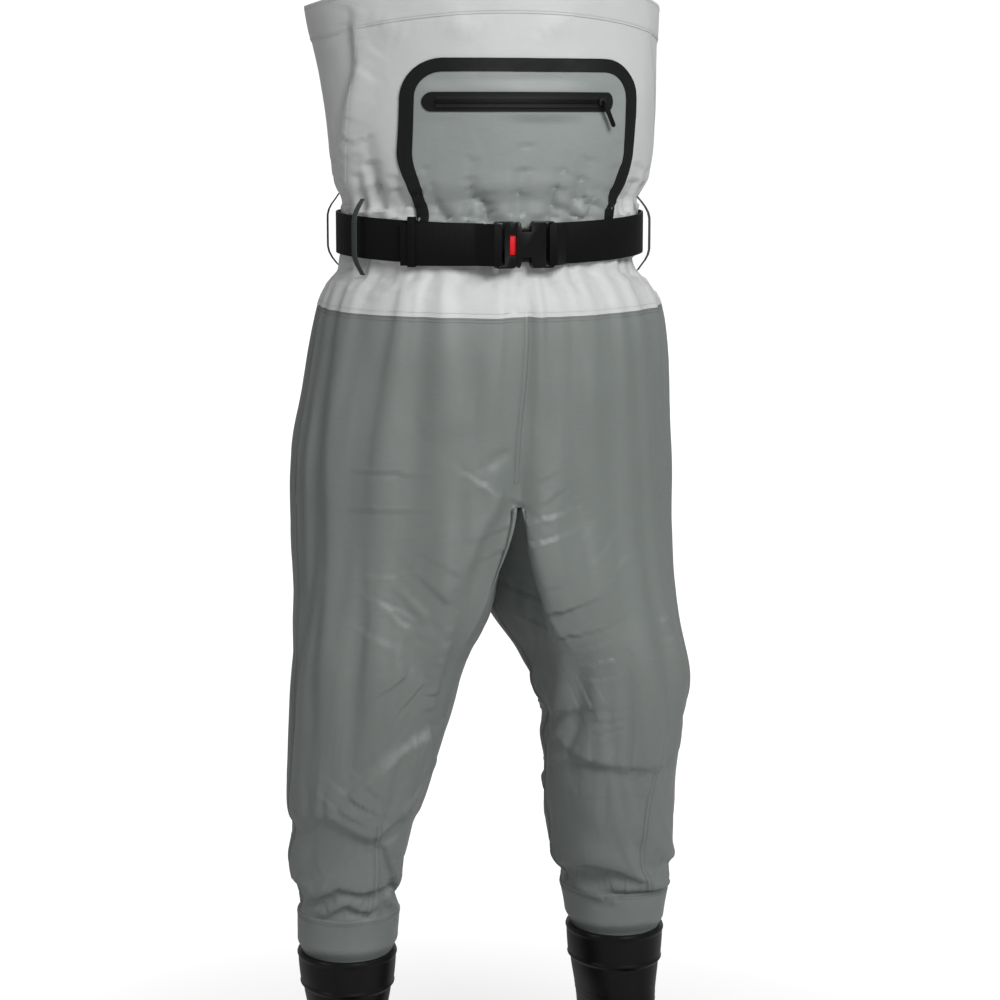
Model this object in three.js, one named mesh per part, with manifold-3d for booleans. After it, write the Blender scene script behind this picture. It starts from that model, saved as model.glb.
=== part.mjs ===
// Bootfoot chest waders, standing as they hang on a wearer: a light bib with a zipped chest pocket,
// darker trousers, a 50 mm wading belt, rubber boots and over-shoulder suspenders.
// Millimetres, +Z up, the front faces -Y. Sides are the wearer's: the right side is at -X.
// The origin is on the floor, under the middle of the object's box.
import * as THREE from "three";
import { mergeVertices } from "three/addons/utils/BufferGeometryUtils.js";
import Module from "manifold-3d";

const wasm = await Module();
wasm.setup();

// ---------- driving dimensions ----------
const gap = 0.3; // between pieces that touch
const cloth = 2.2; // wall of the garment panels, seams and lining included
const bootTop = 245; // boot rim
const cuffHeight = 55; // doubled band above the boot rim
const cuffTuck = 22; // how far that band goes down inside the boot
const crotchHeight = 830;
const waistSeamHeight = 1077; // light bib to dark trousers, at the sides
const waistSeamDip = 11; // how much lower it is at the front
const beltHeight = 1166; // middle of the belt at the sides
const beltDip = 15; // how much lower it is at the front
const beltWidth = 50;
const webbing = 2.4; // belt thickness
const chestHeight = 1435; // rim at the sides
const frontRise = 30; // how much higher the front of the rim is
const hemWidth = 42;
const footSpread = 182.5; // boot centre to the middle plane
const footBack = 25; // boot centre behind the body's middle
const toeOut = 8; // degrees
const bootWall = 4;
const soleHeight = 28;

const deg = THREE.MathUtils.degToRad;
const lerp = THREE.MathUtils.lerp;
const clamp = THREE.MathUtils.clamp;
const smooth = THREE.MathUtils.smoothstep;
const vec = (x, y, z) => new THREE.Vector3(x, y, z);

const waders = new THREE.Group();

// ---------- finishes ----------
const finish = (color, roughness, metalness = 0) =>
  new THREE.MeshStandardMaterial({ color, roughness, metalness });
const lightCloth = finish(0xbfc1bf, 0.6);
const darkCloth = finish(0x6f7674, 0.6);
const pocketCloth = finish(0x838988, 0.6);
const lining = finish(0x50565a, 0.9);
const tape = finish(0x161717, 0.5);
const webbingBlack = finish(0x101112, 0.8);
const loopGrey = finish(0x4b504f, 0.7);
const bootRubber = finish(0x141516, 0.4);
const soleRubber = finish(0x1d1d1c, 0.7);
const buckleBlack = finish(0x121314, 0.35);
const signalRed = finish(0xe81c22, 0.4);
const zipMetal = finish(0x2a2b2c, 0.35, 0.6);

// ---------- helpers ----------
function piece(name, geometry, material, parent = waders) {
  const mesh = new THREE.Mesh(geometry, material);
  mesh.name = name;
  parent.add(mesh);
  return mesh;
}

// A curved slab: at(u, v, w) gives a point, u and v run 0 to 1, and w is 0 inside and 1 outside.
function slab(columns, rows, at, closed = false) {
  const around = closed ? columns : columns + 1;
  const points = [];
  for (const w of [0, 1])
    for (let j = 0; j <= rows; j++)
      for (let i = 0; i < around; i++) points.push(at(i / columns, j / rows, w));
  const id = (i, j, w) => (w * (rows + 1) + j) * around + (i % around);
  const index = [];
  const quad = (a, b, c, d) => index.push(a, b, c, a, c, d);
  for (let i = 0; i < columns; i++) {
    for (let j = 0; j < rows; j++) {
      quad(id(i, j, 1), id(i + 1, j, 1), id(i + 1, j + 1, 1), id(i, j + 1, 1));
      quad(id(i, j, 0), id(i, j + 1, 0), id(i + 1, j + 1, 0), id(i + 1, j, 0));
    }
    quad(id(i, 0, 0), id(i + 1, 0, 0), id(i + 1, 0, 1), id(i, 0, 1));
    quad(id(i, rows, 1), id(i + 1, rows, 1), id(i + 1, rows, 0), id(i, rows, 0));
  }
  if (!closed)
    for (let j = 0; j < rows; j++) {
      quad(id(0, j, 0), id(0, j, 1), id(0, j + 1, 1), id(0, j + 1, 0));
      quad(id(columns, j, 1), id(columns, j, 0), id(columns, j + 1, 0), id(columns, j + 1, 1));
    }
  return outward(geometryOf(points, index));
}

function geometryOf(points, index) {
  const made = new THREE.BufferGeometry().setFromPoints(points);
  made.setIndex(index);
  return made;
}

// Turns every face round if the body is inside out.
function outward(geometry) {
  const p = geometry.getAttribute("position");
  const index = geometry.getIndex();
  const corner = (k) => vec().fromBufferAttribute(p, index.getX(k));
  let volume = 0;
  for (let k = 0; k < index.count; k += 3)
    volume += corner(k).dot(corner(k + 1).cross(corner(k + 2)));
  if (volume < 0)
    for (let k = 0; k < index.count; k += 3) {
      const second = index.getX(k + 1);
      index.setX(k + 1, index.getX(k + 2));
      index.setX(k + 2, second);
    }
  return geometry;
}

function solidOf(geometry) {
  const bare = geometry.clone();
  for (const name of ["normal", "uv"]) bare.deleteAttribute(name);
  const merged = mergeVertices(bare, 1e-4);
  return new wasm.Manifold(
    new wasm.Mesh({
      numProp: 3,
      vertProperties: new Float32Array(merged.getAttribute("position").array),
      triVerts: new Uint32Array(merged.getIndex().array),
    }),
  );
}

function geometryFrom(solid) {
  const mesh = solid.getMesh();
  const made = new THREE.BufferGeometry();
  made.setAttribute("position", new THREE.BufferAttribute(mesh.vertProperties, 3));
  made.setIndex(new THREE.BufferAttribute(mesh.triVerts, 1));
  return made;
}

const cut = (body, ...tools) =>
  geometryFrom(tools.reduce((left, tool) => left.subtract(solidOf(tool)), solidOf(body)));
const join = (body, ...others) =>
  geometryFrom(others.reduce((sum, other) => sum.add(solidOf(other)), solidOf(body)));
const block = (sx, sy, sz, x = 0, y = 0, z = 0) =>
  new THREE.BoxGeometry(sx, sy, sz).translate(x, y, z);

// A plate drawn in X and Z, from y = back to y = back - thickness.
function plateXZ(shape, thickness, back, curveSegments = 5) {
  const settings = { depth: thickness, bevelEnabled: false, curveSegments };
  return new THREE.ExtrudeGeometry(shape, settings).rotateX(deg(90)).translate(0, back, 0);
}

function roundedRect(width, height, radius, x = 0, y = 0) {
  const [w, h, r] = [width / 2, height / 2, radius];
  const shape = new THREE.Shape();
  shape.moveTo(x - w + r, y - h);
  shape.lineTo(x + w - r, y - h);
  shape.absarc(x + w - r, y - h + r, r, -Math.PI / 2, 0);
  shape.lineTo(x + w, y + h - r);
  shape.absarc(x + w - r, y + h - r, r, 0, Math.PI / 2);
  shape.lineTo(x - w + r, y + h);
  shape.absarc(x - w + r, y + h - r, r, Math.PI / 2, Math.PI);
  shape.lineTo(x - w, y - h + r);
  shape.absarc(x - w + r, y - h + r, r, Math.PI, 1.5 * Math.PI);
  return shape;
}

// Smooth reading of a table whose first column is the key. It never swings past the table's values.
function reader(table) {
  return (key) => {
    const last = table.length - 1;
    const k = clamp(key, table[0][0], table[last][0]);
    let i = table.findIndex((row) => row[0] >= k);
    i = Math.max(1, i);
    const [a, b] = [table[i - 1], table[i]];
    const [before, after] = [table[Math.max(0, i - 2)], table[Math.min(last, i + 1)]];
    const s = (k - a[0]) / (b[0] - a[0]);
    return a.slice(1).map((_, c) => {
      const n = c + 1;
      const span = b[0] - a[0];
      const turnsA = (b[n] - a[n]) * (a[n] - before[n]) <= 0;
      const turnsB = (b[n] - a[n]) * (after[n] - b[n]) <= 0;
      const slopeA = turnsA ? 0 : ((b[n] - before[n]) / (b[0] - before[0])) * span;
      const slopeB = turnsB ? 0 : ((after[n] - a[n]) / (after[0] - a[0])) * span;
      const [s2, s3] = [s * s, s * s * s];
      return (
        (2 * s3 - 3 * s2 + 1) * a[n] +
        (s3 - 2 * s2 + s) * slopeA +
        (3 * s2 - 2 * s3) * b[n] +
        (s3 - s2) * slopeB
      );
    });
  };
}

// ---------- the trunk: hips, waist and bib ----------
// Share of the way from crotch to rim, middle x, middle y, half width, depth in front, depth behind.
const rise = chestHeight - crotchHeight;
const waistShare = (beltHeight - beltDip / 2 - crotchHeight) / rise;
const nipMargin = 16; // how far the drawn-in waist runs past the belt's edges
const nip = { half: 189, front: 118, back: 116, reach: (beltWidth / 2 + nipMargin) / rise, mouth: 0.11 };
const trunkAt = reader([
  [0, -3, 10, 243, 150, 169],
  [0.1, -3, 10, 241, 151, 170],
  [0.28, 4, 6, 232, 148, 160],
  [0.4, 7, 2, 221, 140, 147],
  [waistShare - nip.mouth * 0.92, 5, 1, 208, 130, 133],
  [waistShare - nip.reach, 4, 0, nip.half, nip.front, nip.back],
  [waistShare, 4, 0, nip.half, nip.front, nip.back],
  [waistShare + nip.reach, 4, 0, nip.half, nip.front, nip.back],
  [waistShare + nip.mouth, 5, 0, 198, 127, 121],
  [0.777, 4, 0, 208, 138, 128],
  [0.929, -2, 0, 217, 143, 133],
  [1, -5, 0, 220, 144, 135],
  [1.08, -6, 0, 221, 145, 136],
]);

// A point on the trunk: t is the turn from the front centre towards +X, in radians.
function trunkPoint(t, z, out = 0, zShape = z) {
  const share = (zShape - crotchHeight) / (chestHeight - crotchHeight);
  const [cx, cy, half, front, back] = trunkAt(share);
  const depth = Math.cos(t) > 0 ? front : back;
  const normal = new THREE.Vector2(Math.sin(t) / half, -Math.cos(t) / depth).normalize();
  return vec(
    cx + half * Math.sin(t) + out * normal.x,
    cy - depth * Math.cos(t) + out * normal.y,
    z,
  );
}

// The same surface found by x instead of by turn, on the front.
function frontPoint(x, z, out = 0, zShape = z) {
  const [cx, , half] = trunkAt((zShape - crotchHeight) / (chestHeight - crotchHeight));
  return trunkPoint(Math.asin(clamp((x - cx) / half, -1, 1)), z, out, zShape);
}

const frontShare = (t) => (1 + Math.cos(t)) / 2;
const rimAt = (t) => chestHeight + frontRise * Math.max(0, Math.cos(t)) ** 1.5;
const hemSeamAt = (t) => rimAt(t) - hemWidth;
const waistSeamAt = (t) => waistSeamHeight - waistSeamDip * frontShare(t) ** 2;
const beltAt = (t) => beltHeight - beltDip * frontShare(t) ** 2;
const hemStep = 1.2; // the folded hem stands this much inside the bib's own line

const quarter = Math.PI / 2;
const seamTurn = 0.0012; // side seams are this half gap wide, in radians

// Row heights between two levels, close together where the waist is drawn in, so layers lie alike.
const waistLevel = crotchHeight + waistShare * rise;
const nipLevels = [-nip.mouth * 0.92, -nip.reach, nip.reach, nip.mouth].map((s) => waistLevel + s * rise);
const nipStep = 7;
function ladder(low, high, step) {
  const marks = [low, ...nipLevels.filter((z) => z > low + 2 && z < high - 2), high];
  const heights = [low];
  for (let i = 1; i < marks.length; i++) {
    const [a, b] = [marks[i - 1], marks[i]];
    const sloping = nipLevels.includes(b) && b !== nipLevels[0] && b !== nipLevels[2];
    const count = Math.max(1, Math.round((b - a) / (sloping ? nipStep : step)));
    for (let k = 1; k <= count; k++) heights.push(lerp(a, b, k / count));
  }
  return heights;
}

const halfColumns = 28; // around each half of the trunk
function trunkPanel(rows, from, to, heightAt, inside, outside) {
  return slab(halfColumns, rows, (u, v, w) => {
    const t = lerp(from + seamTurn, to - seamTurn, u);
    return trunkPoint(t, heightAt(t, v), w ? outside : inside);
  });
}

const bibLevels = ladder(nipLevels[0], chestHeight - hemWidth - 42, 48);
const bibRows = bibLevels.length + 1;
function bibHeight(t, v) {
  const row = Math.round(v * bibRows);
  if (row === 0) return waistSeamAt(t) + gap;
  return row === bibRows ? hemSeamAt(t) - gap : bibLevels[row - 1];
}
const hipHeight = (t, v) => lerp(crotchHeight + gap, waistSeamAt(t), v);
const halves = { front: [-quarter, quarter], back: [quarter, 3 * quarter] };
for (const [half, [from, to]] of Object.entries(halves)) {
  piece(`bib_${half}`, trunkPanel(bibRows, from, to, bibHeight, -cloth, 0), lightCloth);
  piece(`hip_${half}`, trunkPanel(4, from, to, hipHeight, -cloth, 0), darkCloth);
}

const hemBand = slab(
  2 * halfColumns, 2,
  (u, v, w) => {
    const t = u * 4 * quarter;
    return trunkPoint(t, lerp(hemSeamAt(t), rimAt(t), v), w ? 0 : -cloth - hemStep);
  },
  true,
);
piece("hem_band", hemBand, lightCloth);

// ---------- legs ----------
// Share of the way from boot rim to crotch, middle x from the middle plane, middle y, half width, half depth.
const legRows = {
  right: [
    [0, footSpread, footBack, 60, 64],
    [0.092, 182, 24, 63, 67],
    [0.207, 180, 18, 71, 76],
    [0.32, 175, 10, 82, 88],
    [0.444, 165, 4, 92, 97],
    [0.545, 156, 0, 99, 104],
    [0.658, 145, 0, 108, 114],
    [0.767, 126, 2, 121, 128],
    [1, 122, 8, 119, 150],
  ],
  left: [
    [0, footSpread, footBack, 60, 64],
    [0.092, 181, 24, 66, 68],
    [0.207, 172, 16, 80, 80],
    [0.32, 165, 6, 86, 89],
    [0.444, 164, -6, 91, 94],
    [0.545, 161, -12, 96, 99],
    [0.658, 148, -9, 106, 110],
    [0.767, 130, -2, 118, 126],
    [1, 119, 8, 119, 150],
  ],
};
const sides = { right: -1, left: 1 };
const legAt = { right: reader(legRows.right), left: reader(legRows.left) };
const legRoundFrom = 0.6; // below this share the leg is an oval, and above it turns into half of the hips
const legGap = 3; // between the two inner thighs
const legShare = (z) => (z - bootTop) / (crotchHeight - bootTop);

// A point on a leg: u runs from the front, round the outer side, to the back at 2/3, then along the inner thigh.
function legPoint(side, u, z, out = 0) {
  const sign = sides[side];
  const [x, y, half, depth] = legAt[side](legShare(z));
  const outer = 2 / 3;
  const turn = u < outer ? lerp(-120, 120, u / outer) : lerp(120, 240, (u - outer) / (1 - outer));
  const round = vec(
    sign * (x + (half + out) * Math.cos(deg(turn))),
    y + (depth + out) * Math.sin(deg(turn)),
    z,
  );
  const become = smooth(legShare(z), legRoundFrom, 1);
  if (become === 0) return round;
  const [cx, cy, , front, back] = trunkAt(0);
  const wall = sign * (legGap / 2 - out);
  const lean = Math.asin((wall - cx) / trunkAt(0)[2]);
  let flat;
  if (u < outer) {
    const [from, to] = sign > 0 ? [lean, Math.PI - lean] : [lean, -Math.PI - lean];
    flat = trunkPoint(lerp(from, to, u / outer), crotchHeight, out);
    flat.x = sign > 0 ? Math.max(flat.x, wall) : Math.min(flat.x, wall);
  } else {
    const along = (u - outer) / (1 - outer);
    flat = vec(wall, lerp(cy + (back + out) * Math.cos(lean), cy - (front + out) * Math.cos(lean), along), z);
  }
  flat.z = z;
  return round.lerp(flat, become);
}

const legHalves = { front: [-1 / 6, 1 / 3], back: [1 / 3, 5 / 6] };
const legColumns = 12;
const legLevels = 11;
const knee = { rows: [3, 7], columns: [3, 9] }; // the patch lies on these rows and columns of the front panel
for (const side of Object.keys(sides)) {
  for (const [half, [from, to]] of Object.entries(legHalves)) {
    const leg = slab(legColumns, legLevels, (u, v, w) => {
      const turn = lerp(from + 0.0004, to - 0.0004, u);
      const z = lerp(bootTop + cuffHeight + gap, crotchHeight - gap, v);
      return legPoint(side, (turn + 1) % 1, z, w ? 0 : -cloth);
    });
    piece(`leg_${half}_${side}`, leg, darkCloth);
  }
  const [across, along] = [knee.columns, knee.rows].map(([from, to]) => to - from);
  const patch = slab(2 * across, along, (u, v, w) => {
    const column = lerp(...knee.columns, u) / legColumns;
    const level = lerp(...knee.rows, v) / legLevels;
    const z = lerp(bootTop + cuffHeight + gap, crotchHeight - gap, level);
    return legPoint(side, lerp(...legHalves.front, column), z, gap * 1.5 + (w ? 1.2 : 0));
  });
  piece(`knee_patch_${side}`, patch, darkCloth);
}

// The gusset bridges the slot between the two inner thighs, inside.
const gussetWidth = 44;
const [, hipMiddle, , hipFront, hipBack] = trunkAt(0);
const gussetEnd = 9;
const gussetLength = hipFront + hipBack - 2 * gussetEnd;
const gusset = block(
  gussetWidth, gussetLength, cloth,
  0, hipMiddle + (hipBack - hipFront) / 2, crotchHeight + gap + cloth / 2,
);
piece("crotch_gusset", gusset, darkCloth);

// ---------- boots ----------
// Height, heel y, toe y, half width: the outside of the rubber upper, in the boot's own frame.
const bootRows = [
  [soleHeight, 80, -203, 49],
  [50, 82, -205, 50],
  [72, 80, -196, 49],
  [90, 76, -164, 45],
  [106, 73, -118, 43],
  [124, 71, -88, 44],
  [150, 69, -73, 47],
  [bootTop - 50, 67, -66, 56],
  [bootTop, 65.5, -64.5, 60.5],
];
const bootAt = reader(bootRows);
const instep = { at: -35, spread: 55, narrow: 0.16 }; // the foot's waist

// turn 0 is the heel, pi the toe.
function bootPoint(turn, z, out = 0, zPlace = z) {
  const [heel, toe, half] = bootAt(z);
  const middle = (heel + toe) / 2;
  const y = middle + ((heel - toe) / 2 + out) * Math.cos(turn);
  const footShare = 1 - smooth(z, 80, 130);
  const pinch = 1 - instep.narrow * footShare * Math.exp(-(((y - instep.at) / instep.spread) ** 2));
  return vec((half * pinch + out) * Math.sin(turn), y, zPlace);
}

const collarHeight = 45;
const ankleLevel = 130;
const shaftLevels = [0, 1 / 3, 2 / 3, 1].map((s) => lerp(ankleLevel, bootTop - collarHeight, s));
const bootLevels = [soleHeight + gap, 38, 50, 61, 72, 84, 98, 112, ...shaftLevels, bootTop];
const bootColumns = 24;
const collarWall = 2;
const guardWall = 2.2;
for (const [side, sign] of Object.entries(sides)) {
  const boot = new THREE.Group();
  boot.position.set(sign * footSpread, footBack, 0);
  boot.rotation.z = deg(sign * toeOut);
  waders.add(boot);

  const low = bootLevels[0];
  const rows = bootLevels.length - 1;
  const upper = slab(
    bootColumns, rows,
    (u, v, w) => bootPoint(u * 4 * quarter, bootLevels[Math.round(v * rows)], w ? 0 : -bootWall),
    true,
  );
  piece(`boot_upper_${side}`, upper, bootRubber, boot);

  const collar = slab(
    bootColumns, 5,
    (u, v, w) => {
      const bead = Math.exp(-(((v - 0.93) / 0.1) ** 2)) + 0.8 * Math.exp(-((v / 0.08) ** 2));
      const out = gap + (w ? collarWall + bead * 1.2 : 0);
      const turn = u * 4 * quarter;
      return bootPoint(turn, bootTop - collarHeight, out).lerp(bootPoint(turn, bootTop, out), v);
    },
    true,
  );
  piece(`boot_collar_${side}`, collar, bootRubber, boot);

  const flange = 4;
  const outsole = new THREE.Shape();
  const steps = 26;
  for (let i = 0; i < steps; i++) {
    const p = bootPoint((i / steps) * 4 * quarter, soleHeight, flange);
    if (i) outsole.lineTo(p.x, p.y);
    else outsole.moveTo(p.x, p.y);
  }
  const blank = new THREE.ExtrudeGeometry(outsole, { depth: soleHeight, bevelEnabled: false });
  const archCut = block(140, 46, 22, 0, -4, 0);
  const grooveDepth = 5;
  const grooveWidth = 6;
  const grooves = [];
  for (let y = -175; y < -35; y += 22) grooves.push(block(140, grooveWidth, grooveDepth * 2, 0, y, 0));
  for (let y = 38; y < 80; y += 18) grooves.push(block(140, grooveWidth, grooveDepth * 2, 0, y, 0));
  piece(`outsole_${side}`, cut(blank, archCut, ...grooves), soleRubber, boot);

  const insoleHeight = 5;
  const insoleClearance = 1;
  const insoleOutline = new THREE.Shape();
  for (let i = 0; i < steps; i++) {
    const p = bootPoint((i / steps) * 4 * quarter, low, -bootWall - insoleClearance);
    if (i) insoleOutline.lineTo(p.x, p.y);
    else insoleOutline.moveTo(p.x, p.y);
  }
  const insolePlate = new THREE.ExtrudeGeometry(insoleOutline, { depth: insoleHeight, bevelEnabled: false });
  piece(`insole_${side}`, insolePlate.translate(0, 0, low), lining, boot);

  // The guards lie on the upper's own columns and levels.
  const guardOut = gap * 1.5;
  const guard = (middle, reach, top, ledge) => {
    const first = 1;
    const span = top - first;
    return slab(2 * reach, span, (u, v, w) => {
      const turn = middle + (lerp(-reach, reach, u) * 4 * quarter) / bootColumns;
      const row = first + Math.round(v * span);
      const bulge = w && row === top - 1 ? ledge : 0;
      return bootPoint(turn, bootLevels[row], guardOut + (w ? guardWall + bulge : 0));
    });
  };
  piece(`toe_guard_${side}`, guard(Math.PI, 4, 4, 0), bootRubber, boot);
  piece(`heel_guard_${side}`, guard(0, 3, 5, 2.5), bootRubber, boot);

  // The cloth band that joins the leg to the boot: it goes down inside the shaft.
  const bootFrame = new THREE.Matrix4().makeRotationZ(boot.rotation.z).setPosition(boot.position);
  const cuff = slab(
    24, 4,
    (u, v, w) => {
      const z = lerp(bootTop - cuffTuck, bootTop + cuffHeight, v);
      const out = w ? 0 : -cloth;
      const turn = u < 2 / 3 ? lerp(-120, 120, u * 1.5) : lerp(120, 240, (u - 2 / 3) * 3);
      const round = deg(sign * (90 - turn));
      const inside = bootPoint(round, Math.min(z, bootTop), out - bootWall - 1.2, z).applyMatrix4(bootFrame);
      return inside.lerp(legPoint(side, u, z, out), smooth(z, bootTop + 2, bootTop + cuffHeight));
    },
    true,
  );
  piece(`cuff_${side}`, cuff, darkCloth);
}

// ---------- chest pocket and its zip ----------
const pocket = { middle: 7.5, half: 148, low: 1129, high: 1371, corner: 46, tape: 16, cloth: 0.9 };
const zip = { left: -102, right: 112, height: 1320, tapeHalf: 7, coil: 3.2, patchHalf: 11.5 };

// The belt gathers the pocket's lower end: how much of its width is left at a height.
const gather = { narrow: 0.84, from: waistLevel + 24, to: waistLevel + 104 };
const gathered = (x, z) =>
  pocket.middle + (x - pocket.middle) * lerp(gather.narrow, 1, smooth(z, gather.from, gather.to));

function pocketHalf(z, inset = 0) {
  const r = pocket.corner;
  const fromEnd = Math.min(z - pocket.low, pocket.high - z) - inset;
  const bend = fromEnd < r - inset ? r - inset - Math.sqrt((r - inset) ** 2 - (r - inset - fromEnd) ** 2) : 0;
  return pocket.half - inset - bend;
}

const panelOut = gap * 2.5;
const panelInset = 3;
const panelEnd = 7; // extra rows near the rounded corners
const pocketLevels = ladder(pocket.low + panelInset, pocket.high - panelInset, 24);
for (const from of [pocket.low + panelInset, pocket.high - panelInset]) {
  const sign = from < waistLevel ? 1 : -1;
  pocketLevels.push(from + sign * panelEnd, from + 2.5 * sign * panelEnd);
}
pocketLevels.sort((a, b) => a - b);
const pocketRows = pocketLevels.length - 1;
const pocketPanel = slab(24, pocketRows, (u, v, w) => {
  const z = pocketLevels[Math.round(v * pocketRows)];
  const x = pocket.middle + lerp(-1, 1, u) * pocketHalf(z, panelInset);
  return frontPoint(gathered(x, z), z, panelOut + (w ? pocket.cloth : 0));
});
piece("pocket_panel", pocketPanel, pocketCloth);

const borderOutline = roundedRect(
  2 * pocket.half,
  pocket.high - pocket.low,
  pocket.corner,
  pocket.middle,
  (pocket.high + pocket.low) / 2,
);
const borderSteps = 84;
const borderLine = borderOutline.getSpacedPoints(borderSteps).slice(0, borderSteps);
const borderOut = panelOut + pocket.cloth + gap * 2.5;
const pocketBorder = slab(
  borderSteps, 1,
  (u, v, w) => {
    const i = Math.round(u * borderSteps);
    const here = borderLine[i % borderSteps];
    const next = borderLine[(i + 1) % borderSteps];
    const before = borderLine[(i + borderSteps - 1) % borderSteps];
    const along = next.clone().sub(before).normalize();
    const inward = new THREE.Vector2(-along.y, along.x).multiplyScalar(v * pocket.tape);
    const z = here.y + inward.y;
    return frontPoint(gathered(here.x + inward.x, z), z, borderOut + (w ? 0.6 : 0));
  },
  true,
);
piece("pocket_border", pocketBorder, tape);

const patchOut = borderOut;
const patchEnds = 14; // how far the welded patch runs past the teeth
const zipPatch = slab(16, 2, (u, v, w) => {
  const from = zip.left - patchEnds;
  const to = zip.right + patchEnds * 0.6;
  const x = lerp(from, to, u);
  const round = clamp((x - from) / zip.patchHalf, 0.12, 1);
  const half = zip.patchHalf * Math.sqrt(1 - (1 - round) ** 2);
  return frontPoint(x, zip.height + lerp(-1, 1, v) * half, patchOut + (w ? 0.6 : 0));
});
piece("zip_patch", zipPatch, tape);

// The slider runs on an arc about an upright axis: the circle through the bib at both ends and the middle.
function arcThrough(a, b, c) {
  const d = 2 * (a.x * (b.y - c.y) + b.x * (c.y - a.y) + c.x * (a.y - b.y));
  const [a2, b2, c2] = [a, b, c].map((p) => p.x * p.x + p.y * p.y);
  const x = (a2 * (b.y - c.y) + b2 * (c.y - a.y) + c2 * (a.y - b.y)) / d;
  const y = (a2 * (c.x - b.x) + b2 * (a.x - c.x) + c2 * (b.x - a.x)) / d;
  return { x, y, radius: Math.hypot(a.x - x, a.y - y) };
}
const zipOut = patchOut + 0.6 + gap + 0.9; // clears the bib's own curve between the three points
const zipArc = arcThrough(
  ...[zip.left, (zip.left + zip.right) / 2, zip.right].map((x) => frontPoint(x, zip.height, zipOut)),
);
const onArc = (arc, angle, radius, z) =>
  vec(arc.x + radius * Math.sin(angle), arc.y - radius * Math.cos(angle), z);
const zipAngle = (x) => Math.asin((x - zipArc.x) / zipArc.radius);
function arcStrip(columns, arc, from, to, inner, thick, low, high) {
  return slab(columns, 1, (u, v, w) =>
    onArc(arc, lerp(from, to, u), inner + (w ? thick : 0), lerp(low, high, v)),
  );
}
const tapeThick = 0.7;
const [zipFrom, zipTo] = [zipAngle(zip.left), zipAngle(zip.right)];
const coilHalf = zip.coil / 2;
for (const [name, sign] of [["upper", 1], ["lower", -1]]) {
  const [inner, outer] = [sign * (coilHalf + gap), sign * zip.tapeHalf].map((v) => zip.height + v);
  const strip = arcStrip(
    16, zipArc, zipFrom, zipTo, zipArc.radius, tapeThick,
    Math.min(inner, outer), Math.max(inner, outer),
  );
  piece(`zip_tape_${name}`, strip, tape);
}
const coilThick = 1.6;
const coil = arcStrip(
  20, zipArc, zipFrom, zipTo, zipArc.radius, coilThick,
  zip.height - coilHalf, zip.height + coilHalf,
);
piece("zip_coil", coil, tape);

// Slider and pull, drawn at the origin with the track along X and the outside at -Y.
const slider = { long: 11, high: 9, thick: 3.4, clearance: 0.35, post: 1.1, postLong: 5.2 };
const sliderInner = tapeThick + slider.clearance;
const sliderBody = cut(
  plateXZ(roundedRect(slider.long, slider.high, 2.5), slider.thick, -sliderInner),
  block(slider.long + 2, 2 * (coilThick + slider.clearance), zip.coil + 2 * slider.clearance),
);
const post = new THREE.CylinderGeometry(slider.post, slider.post, slider.postLong, 10);
post.translate(0, -sliderInner - slider.thick + 0.5 - slider.postLong / 2, 0);
const postHead = new THREE.CylinderGeometry(1.9, 1.9, 0.9, 10);
postHead.translate(0, -sliderInner - slider.thick + 0.5 - slider.postLong - 0.4, 0);
const parkedAt = zipTo - deg(1.6);
const sliderFrame = new THREE.Group();
sliderFrame.position.copy(onArc(zipArc, parkedAt, zipArc.radius, zip.height));
sliderFrame.rotation.z = parkedAt;
waders.add(sliderFrame);
piece("zip_slider", join(sliderBody, post, postHead), zipMetal, sliderFrame);

const pull = { width: 5.6, long: 36, thick: 2.2, eye: 1.5, lean: 27 };
const pullOutline = roundedRect(pull.width, pull.long, pull.width / 2 - 0.1, 0, -pull.long / 2 + pull.width / 2);
pullOutline.holes.push(new THREE.Path().absarc(0, 0, pull.eye, 0, 2 * Math.PI));
const pullPlate = plateXZ(pullOutline, pull.thick, -sliderInner - slider.thick - 0.9);
const pullMesh = piece("zip_pull", pullPlate, buckleBlack, sliderFrame);
pullMesh.rotation.y = deg(-pull.lean);

// The bag hangs behind the bib.
const bag = { left: -112, right: 124, low: nipLevels[3], high: 1345, thick: 1.6, clearance: 0.9 };
const bagOut = -cloth - bag.clearance;
const bagSlab = slab(10, 5, (u, v, w) =>
  frontPoint(lerp(bag.left, bag.right, u), lerp(bag.low, bag.high, v), bagOut - (w ? 0 : bag.thick)),
);
piece("pocket_bag", bagSlab, lining);

// ---------- belt ----------
// The webbing lies on the pocket's tape. Its outer lap, the tail, runs on an arc, so it can be drawn along.
const keeper = { at: -120, wide: 9, thick: 0.9, room: 3.4 };
const beltSeat = borderOut + 0.6 + gap + keeper.thick + gap * 2;
const beltShape = beltHeight - beltDip / 2;
const buckle = { middle: 5, half: 38, high: beltWidth + 6, thick: 11, bar: 5.5, slot: 6.5 };
const beltPoint = (t, v, out) =>
  trunkPoint(t, beltAt(t) + (v - 0.5) * beltWidth, out, beltShape);
const beltTurn = (x) => {
  const [cx, , half] = trunkAt((beltShape - crotchHeight) / (chestHeight - crotchHeight));
  return Math.asin((x - cx) / half);
};
const buckleHeight = beltAt(0);
const tailEnd = -136;
const lapTo = buckle.middle - buckle.half - 8; // the under layer stops just short of the plug
const webStart = beltTurn(buckle.middle + buckle.half + 3);
const webEnd = beltTurn(lapTo) + 4 * quarter;
const beltWeb = slab(56, 1, (u, v, w) => {
  const t = lerp(webStart, webEnd, u);
  return beltPoint(t, v, beltSeat + (w ? webbing : 0));
});
const lapOut = beltSeat + webbing + gap + 0.5;
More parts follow.
